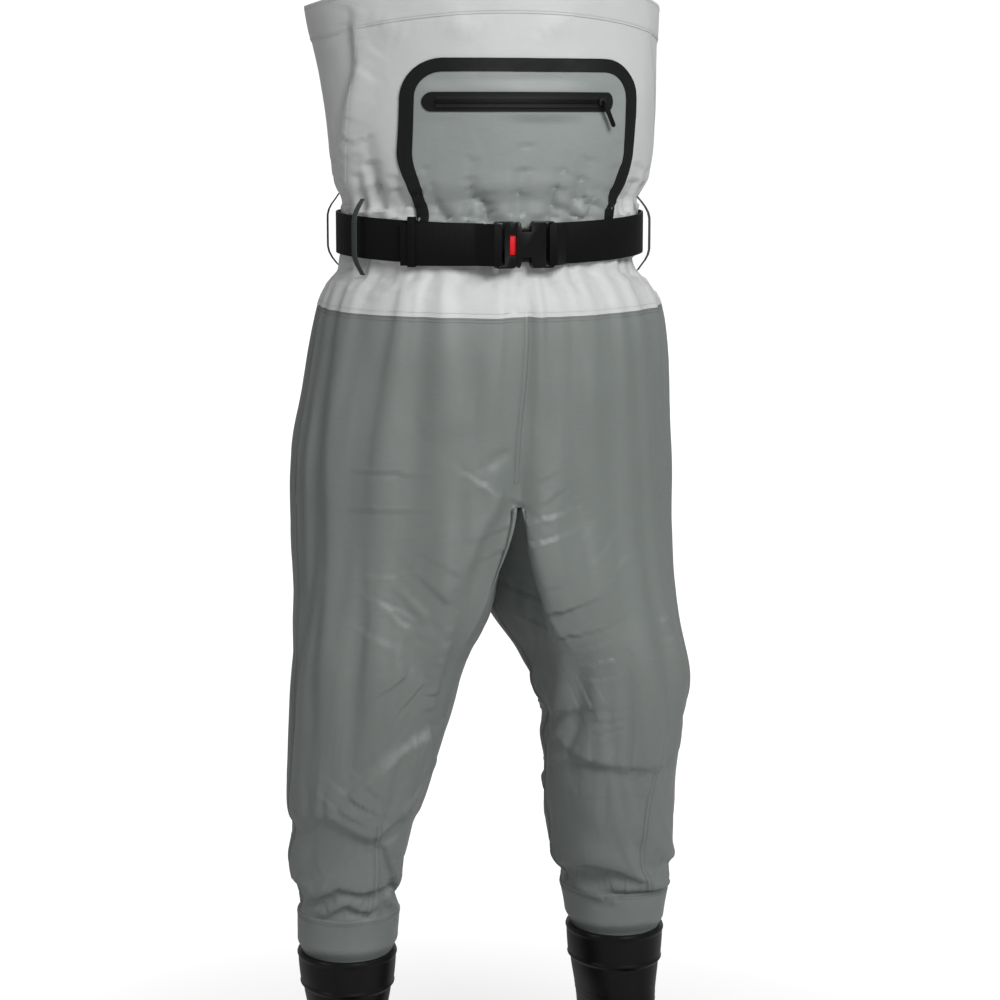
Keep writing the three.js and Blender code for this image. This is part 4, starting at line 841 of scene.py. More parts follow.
def drapeGarment():
    outer, inner, around = columnsOf(drape["outer"], drape["inner"], 0.0)
    rows = np.linspace(0, 1, drape["trunkRows"])
    turns = np.tile(around, (len(rows), 1))
    heights = size["crotch"] + (rimAt(turns) - size["crotch"]) * rows[:, None]
    trunk = clothPoint("trunk", turns, heights)
    columns = len(around)
    points, faces = [trunk.reshape(-1, 3)], [gridFaces(len(rows), columns, True)]
    low = size["bootTop"] + size["cuff"] - drape["underCuff"]
    levels = np.linspace(low, size["crotch"], drape["legRows"])
    legTurns = np.r_[-120 + 240 * outer, 120 + 120 * inner]
    _, ids = hangLegs(points, faces, columns, len(outer), legTurns, levels)
    points, faces = np.vstack(points), np.vstack(faces)
    x, y, z = points.T
    turn = np.degrees(np.arctan2(x - 4, -y))
    belt = 1 - smooth(abs(z - beltAt(turn)), 20, 32)
    zipZone = smooth(-y, 40, 80) * (1 - smooth(abs(z - 1320), 18, 44)) * (1 - smooth(abs(x - 5), 118, 160))
    hem = smooth(z, rimAt(turn) - size["hem"] - 8, rimAt(turn) - 4)
    ankle = 1 - smooth(z, low + 3, low + 16)
    held = np.maximum.reduce([belt, zipZone, hem, ankle, behindTab(x, y, z)])
    loose = np.zeros(len(z))
    for height, spread, share in looseZones:
        loose = np.maximum(loose, share * np.exp(-((z - height) / spread) ** 2))
    sheet = meshObject("drape", points, faces, [])
    for name, weights in (("held", held), ("loose", loose)):
        group = sheet.vertex_groups.new(name=name)
        for i in np.nonzero(weights > 0.01)[0].tolist():
            group.add([i], float(weights[i]), "REPLACE")
    cloth = sheet.modifiers.new("drape", "CLOTH")
    stuff = cloth.settings
    stuff.quality = drape["quality"]
    stuff.mass = drape["mass"]
    stuff.tension_stiffness = stuff.compression_stiffness = drape["stiff"]
    stuff.shear_stiffness = drape["stiff"] * drape["shear"]
    stuff.bending_stiffness = drape["bend"]
    stuff.tension_damping = stuff.compression_damping = stuff.shear_damping = drape["damping"]
    stuff.bending_damping = drape["bendDamping"]
    stuff.vertex_group_mass = "held"
    stuff.vertex_group_shrink = "loose"
    stuff.shrink_min, stuff.shrink_max = 0.0, drape["slack"]
    stuff.use_pressure = True
    stuff.uniform_pressure_force = drape["pressure"]
    stuff.effector_weights.gravity = drape["gravity"]
    cloth.collision_settings.use_collision = False
    cloth.point_cache.frame_end = drape["frames"] + 1
    for step in range(1, drape["frames"] + 1):
        scene.frame_set(step)
    shown = sheet.evaluated_get(bpy.context.evaluated_depsgraph_get())
    ended = np.empty(len(points) * 3)
    shown.data.vertices.foreach_get("co", ended)
    moved = ended.reshape(-1, 3) / mm - points
    # each leg's own top row is replaced by the trunk's, so those points hang loose and are left out of the tally
    joined = np.bincount(faces.ravel(), minlength=len(points)) > 0
    middling = float(np.median(np.linalg.norm(moved[joined], axis=1)))
    print("cloth before the drift is taken out: median", round(middling, 1))
    moved = wrinklesOnly(moved, faces)
    far = np.linalg.norm(moved, axis=1, keepdims=True)
    print("wrinkles kept: mean", round(float(far[joined].mean()), 2), "most", round(float(far[joined].max()), 1),
          "held back to the cap", int((far[joined] > drape["most"]).sum()), "of", int(joined.sum()))
    moved *= np.minimum(1, drape["most"] / np.maximum(far, 1e-6))
    scene.frame_set(1)
    bpy.data.objects.remove(sheet)
    halfTurns = (around + 180) % 360 - 180
    order = np.argsort(halfTurns)
    trunkMoved = moved[: trunk.shape[0] * columns].reshape(len(rows), columns, 3)[:, order]
    sortedTurns = halfTurns[order]
    drapedBy["trunk"] = (
        np.r_[sortedTurns[-1] - 360, sortedTurns, sortedTurns[0] + 360], rows,
        np.concatenate([trunkMoved[:, -1:], trunkMoved, trunkMoved[:, :1]], 1),
    )
    for side in signOf:
        legMoved = moved[ids[side]]
        drapedBy[side] = (np.r_[legTurns, 240], levels, np.concatenate([legMoved, legMoved[:, :1]], 1))


started = time.time()
drapeGarment()
print("garment draped in", round(time.time() - started), "s")


def trunkGrid(heightAt, rows):
    turns = np.tile(ring, (rows, 1))
    heights = np.stack([heightAt(ring, v) for v in np.linspace(0, 1, rows)])
    return clothPoint("trunk", turns, heights)


def makeTrousers():
    hips = trunkGrid(lambda t, v: size["crotch"] + (waistSeamAt(t) + 3 - size["crotch"]) * v, grid["hipRows"])
    columns = len(ring)
    points, uvs = [hips.reshape(-1, 3)], [gridUv(hips).reshape(-1, 2) + (0, size["crotch"])]
    faces = [gridFaces(grid["hipRows"], columns, True)]
    turns = np.r_[-120 + 240 * outerShare, 120 + 120 * innerShare]
    levels = np.linspace(size["bootTop"] + size["cuff"] - 8, size["crotch"], grid["legRows"])
    legs, _ = hangLegs(points, faces, columns, grid["outer"] + 1, turns, levels)
    uvs += [gridUv(leg).reshape(-1, 2) + (0, size["bootTop"]) for leg in legs.values()]
    thing = meshObject("trousers", np.vstack(points), np.vstack(faces), [darkCloth], np.vstack(uvs))
    tidy = bpy.data.meshes["trousers"]
    used = np.zeros(len(tidy.vertices), bool)
    index = np.empty(len(tidy.loops), dtype=np.int32)
    tidy.loops.foreach_get("vertex_index", index)
    used[index] = True
    work = bmesh.new()
    work.from_mesh(tidy)
    work.verts.ensure_lookup_table()
    bmesh.ops.delete(work, geom=[v for v in work.verts if not used[v.index]], context="VERTS")
    work.to_mesh(tidy)
    work.free()
    return owned(thing, "garment", "dark_cloth", "hip_front", "hip_back", "leg_front_right", "leg_front_left",
                 "leg_back_right", "leg_back_left", "crotch_gusset")


makeTrousers()
print("trousers made")


def makeBib():
    outside = trunkGrid(lambda t, v: waistSeamAt(t) - 2 + (hemSeamAt(t) + 6 - waistSeamAt(t)) * v, grid["bibRows"])
    outside += gridNormals(outside, True) * 0.6
    bib = sheetOf("bib", outside, size["cloth"], lightCloth, liningCloth, closed=True)
    owned(bib, "garment", "light_cloth", "bib_front", "bib_back")
    band = trunkGrid(lambda t, v: hemSeamAt(t) + size["hem"] * v, grid["hemRows"])
    normals = gridNormals(band, True)
    share = np.linspace(0, 1, grid["hemRows"])[:, None, None]
    puff = 1.5 + 0.5 * np.sin(np.pi * share)
    hem = sheetOf("hemBand", band + normals * puff, 4.6, lightCloth, liningCloth, closed=True)
    owned(hem, "garment", "light_cloth", "hem_band")


makeBib()
print("bib made")


def makeCuffs():
    for side in signOf:
        # the lower end goes down inside the boot
        turns = np.linspace(-120, 240, 161)[:-1]
        heights = np.linspace(size["bootTop"] - 16, size["bootTop"] + size["cuff"], 30)
        a, z = np.meshgrid(turns, heights)
        outside = clothPoint(side, a, z)
        tuck = (1 - smooth(z, size["bootTop"] - 4, size["bootTop"] + 14))[..., None]
        centre = outside.mean(1, keepdims=True)
        outside = outside + (centre - outside) * np.array([1, 1, 0]) * 0.11 * tuck
        n = gridNormals(outside, True) * (-1 if side == "right" else 1)
        outside = outside + n * 0.8
        cuff = sheetOf(f"cuff_{side}", outside, 1.6, darkCloth, liningCloth, closed=True, turned=side == "right")
        owned(cuff, "garment", "dark_cloth", f"cuff_{side}")


makeCuffs()


# a doubled knee: one more layer of the trouser cloth, welded flat along its edges
def makeKnees():
    patch = {"low": 444.7, "high": 637.2, "from": -135.0, "to": -45.0}
    for side in signOf:
        a, z = np.meshgrid(np.linspace(patch["from"], patch["to"], 84), np.linspace(patch["low"], patch["high"], 64))
        edge = np.minimum(np.minimum(a - patch["from"], patch["to"] - a) / 3,
                          np.minimum(z - patch["low"], patch["high"] - z) / 5)
        outside = onCloth(side, a, z, 0.1 + 0.3 * smooth(edge, 0, 1))
        knee = sheetOf(f"knee_{side}", outside, 0.4, darkCloth, turned=side == "right")
        owned(knee, "garment", "dark_cloth", f"knee_patch_{side}")


makeKnees()

# pocket, its border and the zip's welded patch lie on the bib as it hangs

pocket = {"middle": 7.5, "half": 148.0, "low": 1129.0, "high": 1371.0, "corner": 46.0, "tape": 16.0,
          "narrow": 0.84, "from": 24.0, "to": 104.0, "overPleats": 1.7}


def turnOf(x, height):
    rows = trunkAt((height - size["crotch"]) / rise)
    return np.degrees(np.arcsin(np.clip((x - rows[..., 0]) / rows[..., 2], -0.999, 0.999)))


def gathered(x, z):
    waist = size["crotch"] + waistShare * rise
    k = pocket["narrow"] + (1 - pocket["narrow"]) * smooth(z, waist + pocket["from"], waist + pocket["to"])
    return pocket["middle"] + (x - pocket["middle"]) * k


def pocketOutline(inset, steps=60):
    w, h = pocket["half"] - inset, (pocket["high"] - pocket["low"]) / 2 - inset
    r = pocket["corner"] - inset
    cx, cz = pocket["middle"], (pocket["high"] + pocket["low"]) / 2
    line = []
    for sx, sz, start in ((1, -1, -90), (1, 1, 0), (-1, 1, 90), (-1, -1, 180)):
        for k in range(9):
            a = math.radians(start + k * 90 / 8)
            line.append((cx + sx * (w - r) + r * math.cos(a), cz + sz * (h - r) + r * math.sin(a)))
    line = np.array(line + line[:1])
    length = np.r_[0, np.cumsum(np.linalg.norm(np.diff(line, axis=0), axis=1))]
    at = np.linspace(0, length[-1], steps, endpoint=False)
    return np.stack([np.interp(at, length, line[:, 0]), np.interp(at, length, line[:, 1])], -1)


# The pocket stands a little further out where the belt's pleats press on it, but not under the belt itself.
def overPleats(z):
    above = z - float(beltAt(0)) - size["beltWidth"] / 2
    return pocket["overPleats"] * smooth(above, 3, 12) * (1 - smooth(above, 30, 70))


def makePocket():
    rows, columns = 74, 96
    z = np.linspace(pocket["low"] + 3, pocket["high"] - 3, rows)
    r = pocket["corner"] - 3
    fromEnd = np.minimum(z - z[0], z[-1] - z)
    bend = np.where(fromEnd < r, r - np.sqrt(np.maximum(0, r * r - (r - fromEnd) ** 2)), 0)
    half = pocket["half"] - 3 - bend
    x = pocket["middle"] + half[:, None] * np.linspace(-1, 1, columns)[None]
    height = np.tile(z[:, None], (1, columns))
    outside = onCloth("trunk", turnOf(gathered(x, height), height), height,
                      1.9 + overPleats(height))
    panel = sheetOf("pocketPanel", outside, 0.9, pocketCloth)
    owned(panel, "garment", "pocket_cloth", "pocket_panel")
    steps = 260
    rims = [pocketOutline(inset, steps) for inset in np.linspace(pocket["tape"], 0, 6)]
    x, z = np.stack([rim[:, 0] for rim in rims]), np.stack([rim[:, 1] for rim in rims])
    outside = onCloth("trunk", turnOf(gathered(x, z), z), z,
                      2.8 + overPleats(z))
    border = sheetOf("pocketBorder", outside, 0.9, weldedTape, closed=True, turned=True)
    owned(border, "garment", "tape", "pocket_border")


makePocket()
print("pocket made")

# what repeats along a line: stitches, zip teeth, sole lugs


def rowTree(name, rounded):
    tree = bpy.data.node_groups.new(name, "GeometryNodeTree")
    for label, kind in (("Path", "Geometry"), ("Pitch", "Float"), ("Item size", "Vector"), ("Stuff", "Material")):
        tree.interface.new_socket(label, in_out="INPUT", socket_type=f"NodeSocket{kind}")
    tree.interface.new_socket("Row", in_out="OUTPUT", socket_type="NodeSocketGeometry")
    given, made = tree.nodes.new("NodeGroupInput"), tree.nodes.new("NodeGroupOutput")
    if rounded:
        item = add(tree, "GeometryNodeMeshUVSphere", Segments=6, Rings=4, Radius=0.5)
    else:
        item = add(tree, "GeometryNodeMeshCube")
    sized = add(tree, "GeometryNodeTransform", Geometry=item.outputs["Mesh"], Scale=given.outputs["Item size"])
    path = add(tree, "GeometryNodeMeshToCurve", Mesh=given.outputs["Path"])
    even = add(tree, "GeometryNodeResampleCurve", {"mode": "LENGTH"}, Curve=path.outputs[0],
               Length=given.outputs["Pitch"])
    upward = add(tree, "GeometryNodeInputNamedAttribute", {"data_type": "FLOAT_VECTOR"}, Name="outward")
    tangent = add(tree, "GeometryNodeInputTangent")
    along = add(tree, "FunctionNodeAlignRotationToVector", {"axis": "X"}, Vector=tangent.outputs[0])
    facing = add(tree, "FunctionNodeAlignRotationToVector", {"axis": "Z", "pivot_axis": "X"},
                 Rotation=along.outputs[0], Vector=upward.outputs[0])
    placed = add(tree, "GeometryNodeInstanceOnPoints", Points=even.outputs[0], Instance=sized.outputs[0],
                 Rotation=facing.outputs[0])
    real = add(tree, "GeometryNodeRealizeInstances", Geometry=placed.outputs[0])
    soft = add(tree, "GeometryNodeSetShadeSmooth", Geometry=real.outputs[0])
    soft.inputs["Shade Smooth"].default_value = rounded
    done = add(tree, "GeometryNodeSetMaterial", Geometry=soft.outputs[0], Material=given.outputs["Stuff"])
    tree.links.new(done.outputs[0], made.inputs[0])
    return tree


roundRow, squareRow = rowTree("rounded row", True), rowTree("square row", False)


# paths is a list of (points, outward directions), both in millimetres
def rowAlong(name, paths, tree, pitch, itemSize, material):
    points, edges, outward = [], [], []
    for line, normals in paths:
        first = len(points)
        points += (np.asarray(line) * mm).tolist()
        outward += np.asarray(normals).tolist()
        edges += [(first + k, first + k + 1) for k in range(len(line) - 1)]
    base = bpy.data.meshes.new(name + " path")
    base.from_pydata(points, edges, [])
    layer = base.attributes.new("outward", "FLOAT_VECTOR", "POINT")
    layer.data.foreach_set("vector", np.asarray(outward, dtype=np.float32).ravel())
    source = bpy.data.objects.new(name + " path", base)
    scene.collection.objects.link(source)
    row = source.modifiers.new("row", "NODES")
    row.node_group = tree
    values = {"Pitch": pitch * mm, "Item size": tuple(v * mm for v in itemSize), "Stuff": material}
    for socket in tree.interface.items_tree:
        if socket.name in values and socket.in_out == "INPUT":
            row[socket.identifier] = values[socket.name]
    shown = source.evaluated_get(bpy.context.evaluated_depsgraph_get())
    result = bpy.data.meshes.new_from_object(shown)
    bpy.data.objects.remove(source)
    thing = bpy.data.objects.new(name, result)
    scene.collection.objects.link(thing)
    return thing


# A line over the cloth at even steps: returns turns and heights.
def evenLine(part, line, step):
    places = spline(np.array([(0, a, z) for a, z in line], float), 2.0)[:, 1:]
    length = np.r_[0, np.cumsum(np.linalg.norm(np.diff(bodyPoint(part, places[:, 0], places[:, 1]), axis=0), axis=1))]
    at = np.linspace(0, length[-1], max(2, int(length[-1] / step)))
    return np.interp(at, length, places[:, 0]), np.interp(at, length, places[:, 1])


def beside(part, turn, height, offset):
    perTurn = bodyPoint(part, turn + 0.5, height) - bodyPoint(part, turn - 0.5, height)
    perHeight = (bodyPoint(part, turn, height + 1) - bodyPoint(part, turn, height - 1)) / 2
    here = bodyPoint(part, turn, height)
    across = unit(np.cross(bodyNormal(part, turn, height), unit(np.gradient(here, axis=0))))
    dTurn = offset * (across * perTurn).sum(1) / (perTurn ** 2).sum(1)
    dHeight = offset * (across * perHeight).sum(1) / (perHeight ** 2).sum(1)
    return turn + dTurn, height + dHeight


def ribbon(name, part, line, width, thick, material, slotName, out=0.0):
    turn, height = evenLine(part, line, 3.5)
    edges = [beside(part, turn, height, s) for s in np.linspace(width / 2, -width / 2, 5)]
    a, z = np.stack([e[0] for e in edges], 1), np.stack([e[1] for e in edges], 1)
    dome = thick * np.array([0.35, 1, 1, 1, 0.35])
    outside = onCloth(part, a, z, out + np.tile(dome, (len(a), 1)))
    return owned(sheetOf(name, outside, thick + 0.3, material), "garment", slotName)


def stitchPath(part, line, offset, out):
    turn, height = evenLine(part, line, 2.5)
    turn, height = beside(part, turn, height, offset)
    points = onCloth(part, turn, height, out)
    return points, bodyNormal(part, turn, height)


# seams: where each runs, and how its cloth and stitches look
seams = {
    "centre": ("trunk", [(0, 1064), (0, 965), (0, 900), (0, 862)]),
    "gore_right": ("trunk", [(-57, 1412), (-66, 1330), (-78, 1226)]),
    "gore_left": ("trunk", [(59, 1404), (67, 1320), (76, 1226)]),
    "side_right": ("trunk", [(-93, 1072), (-92, 960), (-91, 840)]),
    "side_left": ("trunk", [(93, 1072), (92, 960), (91, 840)]),
    "back": ("trunk", [(180, 1386), (180, 1250)]),
    "seat": ("trunk", [(180, 1070), (180, 960), (180, 840)]),
    "outer_right": ("right", [(0, 826), (0, 600), (0, 304)]),
    "outer_left": ("left", [(0, 826), (0, 600), (0, 304)]),
    "inner_right": ("right", [(180, 820), (180, 600), (180, 304)]),
    "inner_left": ("left", [(180, 820), (180, 600), (180, 304)]),
    "shin_right": ("right", [(-94, 438), (-101, 380), (-102, 332), (-97, 304)]),
    "shin_left": ("left", [(-67, 478), (-71, 443), (-75, 389), (-76, 346), (-71, 304)]),
}
thread = {"pitch": 3.4, "size": (2.6, 0.62, 0.5), "beside": 2.6}


def makeSeams():
    dark, light = [], []
    for name, (part, line) in seams.items():
        pale = part == "trunk" and line[0][1] > 1100
        cloth, slotName = (lightCloth, "light_cloth") if pale else (darkCloth, "dark_cloth")
        ribbon(f"seam_{name}", part, line, 8.5, 0.45, cloth, slotName, 0.1 if not pale else 0.7)
        for side in (-1, 1):
            path = stitchPath(part, line, side * thread["beside"], 0.75 if not pale else 1.35)
            (light if pale else dark).append(path)
    rounds = np.linspace(-180, 180, 420)
    for drop, out, group in ((4.0, 0.35, dark), (7.5, 0.35, dark), (-3.5, 0.9, light)):
        heights = waistSeamAt(rounds) - drop
        group.append((onCloth("trunk", rounds, heights, out), bodyNormal("trunk", rounds, heights)))
    for lift in (3.0, size["hem"] - 4):
        heights = hemSeamAt(rounds) + lift
        light.append((onCloth("trunk", rounds, heights, 2.1), bodyNormal("trunk", rounds, heights)))
    for side in signOf:
        turns = np.linspace(-120, 240, 220)
        for level in (-4.0, -7.0):
            heights = np.full(len(turns), size["bootTop"] + size["cuff"] + level)
            dark.append((onCloth(side, turns, heights, 1.0), bodyNormal(side, turns, heights)))
    for name, paths, stuff, slotName in (("darkStitches", dark, darkThread, "dark_cloth"),
                                         ("lightStitches", light, lightThread, "light_cloth")):
        owned(rowAlong(name, paths, roundRow, thread["pitch"], thread["size"], stuff), "garment", slotName)


darkThread = mouldedFinish("dark thread", {**mouldedLook, "colour": (88, 94, 92), "rough": 0.6, "grain": 3000.0})
lightThread = mouldedFinish("light thread", {**mouldedLook, "colour": (168, 170, 170), "rough": 0.6, "grain": 3000.0})
makeSeams()
print("seams and stitches made")

# zip: a welded patch with round ends, two rows of moulded teeth, and the tapes between

zipLook = {"left": -102.0, "right": 112.0, "height": 1320.0, "patchHalf": 11.5, "ends": (14.0, 8.4),
           "centre": (2.9, 164.403), "radius": 308.226, "pitch": 1.7, "tooth": (0.95, 2.1, 0.9)}


def onZip(x, out):
    cx, cy = zipLook["centre"]
    a = np.arcsin((x - cx) / zipLook["radius"])
    n = np.stack([np.sin(a), -np.cos(a), 0 * a], -1)
    return np.array([cx, cy, zipLook["height"]]) + n * (zipLook["radius"] + out), n


def makeZip():
    start, end = zipLook["left"] - zipLook["ends"][0], zipLook["right"] + zipLook["ends"][1]
    half = zipLook["patchHalf"]
    x = np.r_[start + half * (1 - np.cos(np.linspace(0, math.pi / 2, 12))),
              np.linspace(start + half, end - half * 0.7, 70)[1:-1],
              end - half * 0.7 * (1 - np.sin(np.linspace(0, math.pi / 2, 8)))]
    nearest = np.clip(np.minimum((x - start) / half, (end - x) / (half * 0.7)), 0.02, 1)
    high = half * np.sqrt(1 - (1 - nearest) ** 2)
    heights = zipLook["height"] + high[None] * np.linspace(-1, 1, 9)[:, None]
    across = np.tile(x, (9, 1))
    outside = onCloth("trunk", turnOf(across, heights), heights, 3.2)
    owned(sheetOf("zipPatch", outside, 0.9, weldedTape), "garment", "tape", "zip_patch")
    x = np.linspace(zipLook["left"], zipLook["right"], 200)
    paths = []
    for side in (-1, 1):
        line, n = onZip(x, 1.75)
        line = line + np.array([0, 0, side * 1.35])
        paths.append((line, n))
    owned(rowAlong("zipTeeth", paths, squareRow, zipLook["pitch"], zipLook["tooth"], bucklePlastic),
          "garment", "tape")


makeZip()

# rubber boots

boots = {"spread": 182.5, "back": 25.0, "toeOut": 8.0, "sole": 28.0, "top": 245.0, "wall": 4.0}
bootAt = reader([
    [28, 80, -203, 49], [50, 82, -205, 50], [72, 80, -196, 49], [90, 76, -164, 45], [106, 73, -118, 43],
    [124, 71, -88, 44], [150, 69, -73, 47], [195, 67, -66, 56], [245, 65.5, -64.5, 60.5],
])


def bootPoint(turn, z, out=0.0):
    turn, z = np.broadcast_arrays(np.asarray(turn, float), np.asarray(z, float))
    rows = bootAt(z)
    heel, toe, half = (rows[..., k] for k in range(3))
    r = np.radians(turn)
    y = (heel + toe) / 2 + ((heel - toe) / 2 + out) * np.cos(r)
    foot = 1 - smooth(z, 80, 130)
    pinch = 1 - 0.16 * foot * np.exp(-((y + 35) / 55) ** 2)
    return np.stack([(half * pinch + out) * np.sin(r), y, z + 0 * turn], -1)


def bump(z, at, wide):
    return np.exp(-((z - at) / wide) ** 2)


def ontoFoot(points, side):
    a = math.radians(signOf[side] * boots["toeOut"])
    x = points[..., 0] * math.cos(a) - points[..., 1] * math.sin(a) + signOf[side] * boots["spread"]
    y = points[..., 0] * math.sin(a) + points[..., 1] * math.cos(a) + boots["back"]
    return np.stack([x, y, points[..., 2]], -1)


def creased(turn, z):
    return 1.3 * bump(z, 118 - 10 * np.cos(np.radians(turn)), 7) * smooth(-np.cos(np.radians(turn)), -0.2, 0.6)


def makeBoots():
    turns = np.linspace(0, 360, 121)[:-1]
    for side in signOf:
        levels = np.r_[np.linspace(28.3, 196, 74), np.linspace(197.5, 245, 34)]
        a, z = np.meshgrid(turns, levels)
        out = 2.4 * smooth(z, 198, 201.5) + 1.3 * bump(z, 241.5, 2.6) + 1.1 * bump(z, 203, 2.2)
        out += 1.2 * bump(z, 46, 1.6) - creased(a, z)
        out += 0.5 * bump(z, 150, 1.4) + 0.5 * bump(z, 156, 1.4)
        outside = ontoFoot(bootPoint(a, z, out), side)
        inside = ontoFoot(bootPoint(a, z, -boots["wall"]), side)
        boot = sheetOf(f"boot_{side}", outside, boots["wall"], bootRubber, liningCloth, closed=True, inside=inside)
        owned(boot, "garment", "boot_rubber", f"boot_upper_{side}", f"boot_collar_{side}")
        for name, low, high, start, end, ledge in (("toeGuard", 29, 61, 118, 242, 0.0),
                                                   ("heelGuard", 29, 73, -50, 50, 2.4)):
            g, z = np.meshgrid(np.linspace(start, end, 60), np.linspace(low, high, 26))
            edge = np.minimum(np.minimum(g - start, end - g) / 4, (high - z) / 3)
            out = 0.4 + 2.1 * smooth(edge, 0, 1) + ledge * bump(z, high - 6, 3.4)
            out += 0.35 * np.sin(z * 1.1) * smooth(edge, 0.5, 2)
            guard = sheetOf(f"{name}_{side}", ontoFoot(bootPoint(g, z, out), side), 2.0, bootRubber)
            cad = "toe_guard" if name == "toeGuard" else "heel_guard"
            owned(guard, "garment", "boot_rubber", f"{cad}_{side}")
        makeSole(side)


def makeSole(side):
    turns = np.linspace(0, 360, 121)[:-1]
    rim = [(7.0, 3.0), (8.0, 4.0), (13.0, 4.0), (14.0, 3.2), (17.0, 3.2), (18.0, 4.0), (26.5, 4.0), (28.0, 2.6)]
    rows = []
    for z, out in rim:
        row = bootPoint(turns, np.full(len(turns), 28.0), out)
        row[:, 2] = z
        rows.append(row)
    centre = bootPoint(turns, np.full(len(turns), 28.0), -20)
    for z, place in ((7.0, 0), (28.0, len(rows) + 1)):
        cap = centre.copy()
        cap[:, 2] = z
        rows.insert(place, cap)
    wall = ontoFoot(np.stack(rows), side)
    count, wide = wall.shape[:2]
    faces = gridFaces(count, wide, True)
    flat = [list(range(wide))[::-1], [(count - 1) * wide + i for i in range(wide)]]
    made = meshObject(f"sole_{side}", wall, faces.tolist() + flat, [soleRubber], crisp=40)
    owned(made, "garment", "sole_rubber", f"outsole_{side}")
    paths = []
    for y in list(np.arange(-190, -38, 15.5)) + list(np.arange(34, 76, 14)):
        inner = [p for p in bootPoint(turns, np.full(len(turns), 28.0), -1.0) if abs(p[1] - y) < 6]
        reachX = max(abs(p[0]) for p in inner) - 7
        for x0, x1 in ((-reachX, -3.5), (3.5, reachX)):
            lean = 5 * (1 if x0 > 0 else -1)
            line = [(x0, y + (lean if x0 < 0 else 0), 3.9), (x1, y + (0 if x0 < 0 else -lean), 3.9)]
            paths.append((ontoFoot(np.array(line, float), side), [(0, 0, 1)] * 2))
    lugs = rowAlong(f"lugs_{side}", paths, squareRow, 13.0, (10.0, 8.5, 7.8), soleRubber)
    owned(lugs, "garment", "sole_rubber")


makeBoots()
print("boots made")


# Hard pieces keep the frame's own shape: a merged copy with its edges rounded takes the node's place.
def rounded(name, radius, material, slotName, body, segments=2):
    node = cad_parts[name]
    mesh = node.data.copy()
    mesh.transform(node.matrix_world)
    work = bmesh.new()
    work.from_mesh(mesh)
    bmesh.ops.remove_doubles(work, verts=work.verts, dist=1e-6)
    bmesh.ops.dissolve_limit(work, angle_limit=math.radians(0.6), verts=work.verts, edges=work.edges)
    if radius:
        sharp = [e for e in work.edges if e.is_manifold and e.calc_face_angle(0) > math.radians(38)]
        bmesh.ops.bevel(work, geom=sharp, offset=radius * mm, segments=segments, profile=0.5, affect="EDGES",
                        clamp_overlap=True)
    bmesh.ops.recalc_face_normals(work, faces=work.faces)
    for face in work.faces:
        face.smooth = True
        face.material_index = 0
    work.to_mesh(mesh)
    work.free()
    mesh.set_sharp_from_angle(angle=math.radians(36))
    mesh.materials.clear()
    mesh.materials.append(material)
    thing = bpy.data.objects.new("shaped_" + name, mesh)
    scene.collection.objects.link(thing)
    return owned(thing, body, slotName, name)


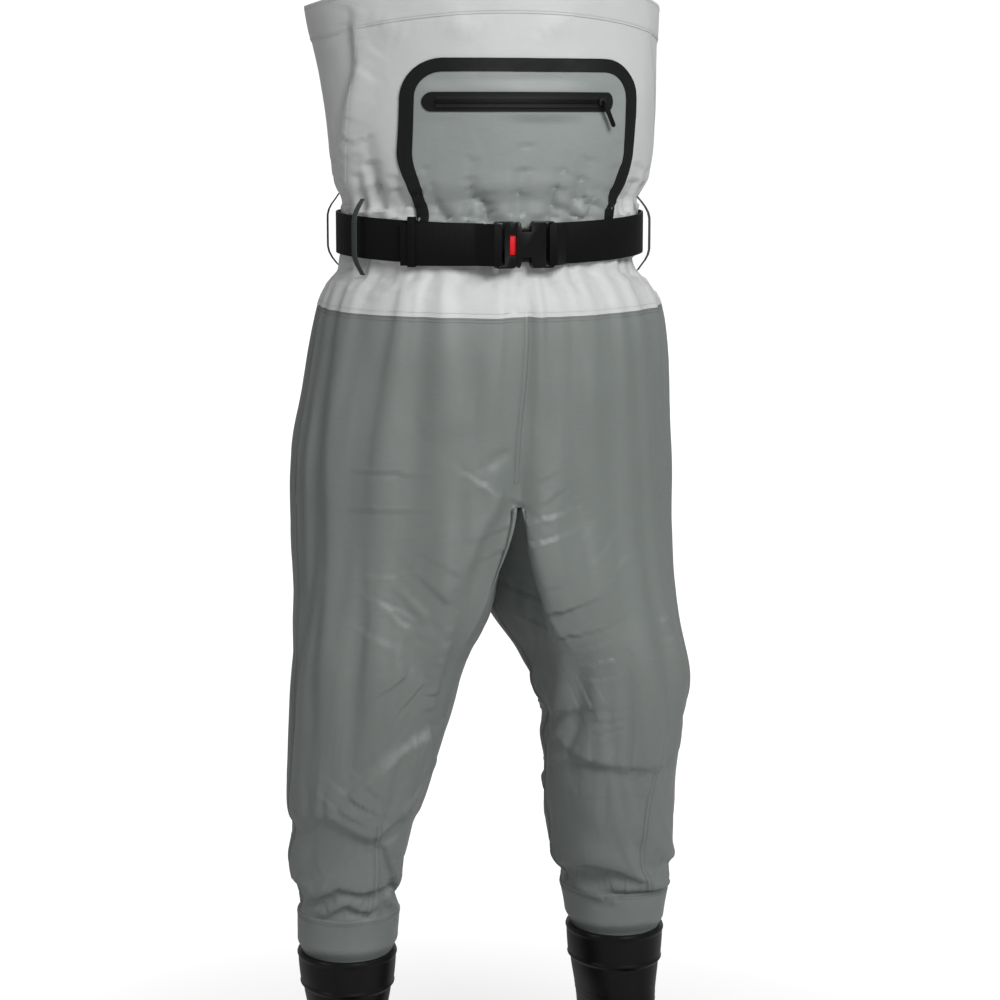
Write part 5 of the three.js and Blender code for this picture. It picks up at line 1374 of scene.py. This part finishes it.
plastic, belting, strapping = (
    (bucklePlastic, "buckle_plastic"), (beltWebbing, "webbing"), (strapWebbing, "webbing"))
sides = ("right", "left")
hardPieces = {
    "garment": {
        "buckle_socket": (1.3, *plastic),
        "zip_tape_upper": (0, weldedTape, "tape"), "zip_tape_lower": (0, weldedTape, "tape"),
        "zip_coil": (0.3, weldedTape, "tape"),
        "belt_webbing": (0.5, *belting), "belt_keeper": (0.3, *belting),
        **{f"belt_loop_{place}": (0.4, loopWebbing, "loop_webbing")
           for place in ("front_right", "front_left", "side_right", "side_left", "back")},
        **{f"strap_tab_{side}": (0.4, *strapping) for side in sides},
        **{f"strap_socket_{side}": (1.0, *plastic) for side in sides},
        "strap_yoke": (0.6, *plastic), "back_tab": (0.4, *strapping),
    },
    "zip_slider": {"zip_slider": (0.35, zipMetal, "zip_metal")},
    "zip_pull": {"zip_pull": (0.5, *plastic)},
    "belt_plug": {
        "buckle_plug": (1.3, *plastic), "buckle_tongue": (0.4, signalRed, "signal_red"),
        "belt_tail": (0.5, *belting),
    },
    **{f"prong_{place}": {f"buckle_prong_{place}": (0.4, *plastic)} for place in ("upper", "lower")},
    **{f"strap_{side}": {f"shoulder_strap_{side}": (0.4, *strapping), f"strap_plug_{side}": (1.0, *plastic)}
       for side in sides},
    **{f"adjuster_{side}": {f"strap_adjuster_{side}": (0.5, *plastic)} for side in sides},
}
for body, pieces in hardPieces.items():
    for name, (radius, material, slotName) in pieces.items():
        rounded(name, radius, material, slotName, body)
print("buckles, webbing and fittings shaped")

# two hidden pieces stay as they are and take a finish
for name in ("pocket_bag", "insole_right", "insole_left"):
    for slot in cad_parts[name].material_slots:
        slot.material = liningCloth

# floor

floorMesh = bpy.data.meshes.new("floor")
reach = studio["floorSize"]
floorMesh.from_pydata([(-reach, -reach, 0), (reach, -reach, 0), (reach, reach, 0), (-reach, reach, 0)],
                      [], [(0, 1, 2, 3)])
floor = bpy.data.objects.new("floor", floorMesh)
scene.collection.objects.link(floor)
floorPaint, floorTree, floorSkin = finish("floor paint")
floorSkin.inputs["Base Color"].default_value = (0.55, 0.55, 0.55, 1)
floorSkin.inputs["Roughness"].default_value = 0.8
floorGlow = add(floorTree, "ShaderNodeEmission", Color=(1, 1, 1, 1), Strength=1.15)
floorRay = add(floorTree, "ShaderNodeLightPath")
floorPlace = add(floorTree, "ShaderNodeTexCoord")
floorReach = add(floorTree, "ShaderNodeVectorMath", {"operation": "LENGTH"}, _0=floorPlace.outputs["Object"])
floorFade = add(floorTree, "ShaderNodeMapRange", Value=floorReach.outputs["Value"])
floorFade.inputs["From Min"].default_value = 0.35
floorFade.inputs["From Max"].default_value = 1.1
floorFade.inputs["To Min"].default_value = 0.62
floorShare = add(floorTree, "ShaderNodeMath", {"operation": "MULTIPLY"}, _0=floorRay.outputs["Is Camera Ray"],
                 _1=floorFade.outputs[0])
floorMix = add(floorTree, "ShaderNodeMixShader", _0=floorShare.outputs[0], _1=floorSkin.outputs[0],
               _2=floorGlow.outputs[0])
floorTree.links.new(floorMix.outputs[0], floorTree.nodes["Material Output"].inputs["Surface"])
floorMesh.materials.append(floorPaint)

print("scene ready")
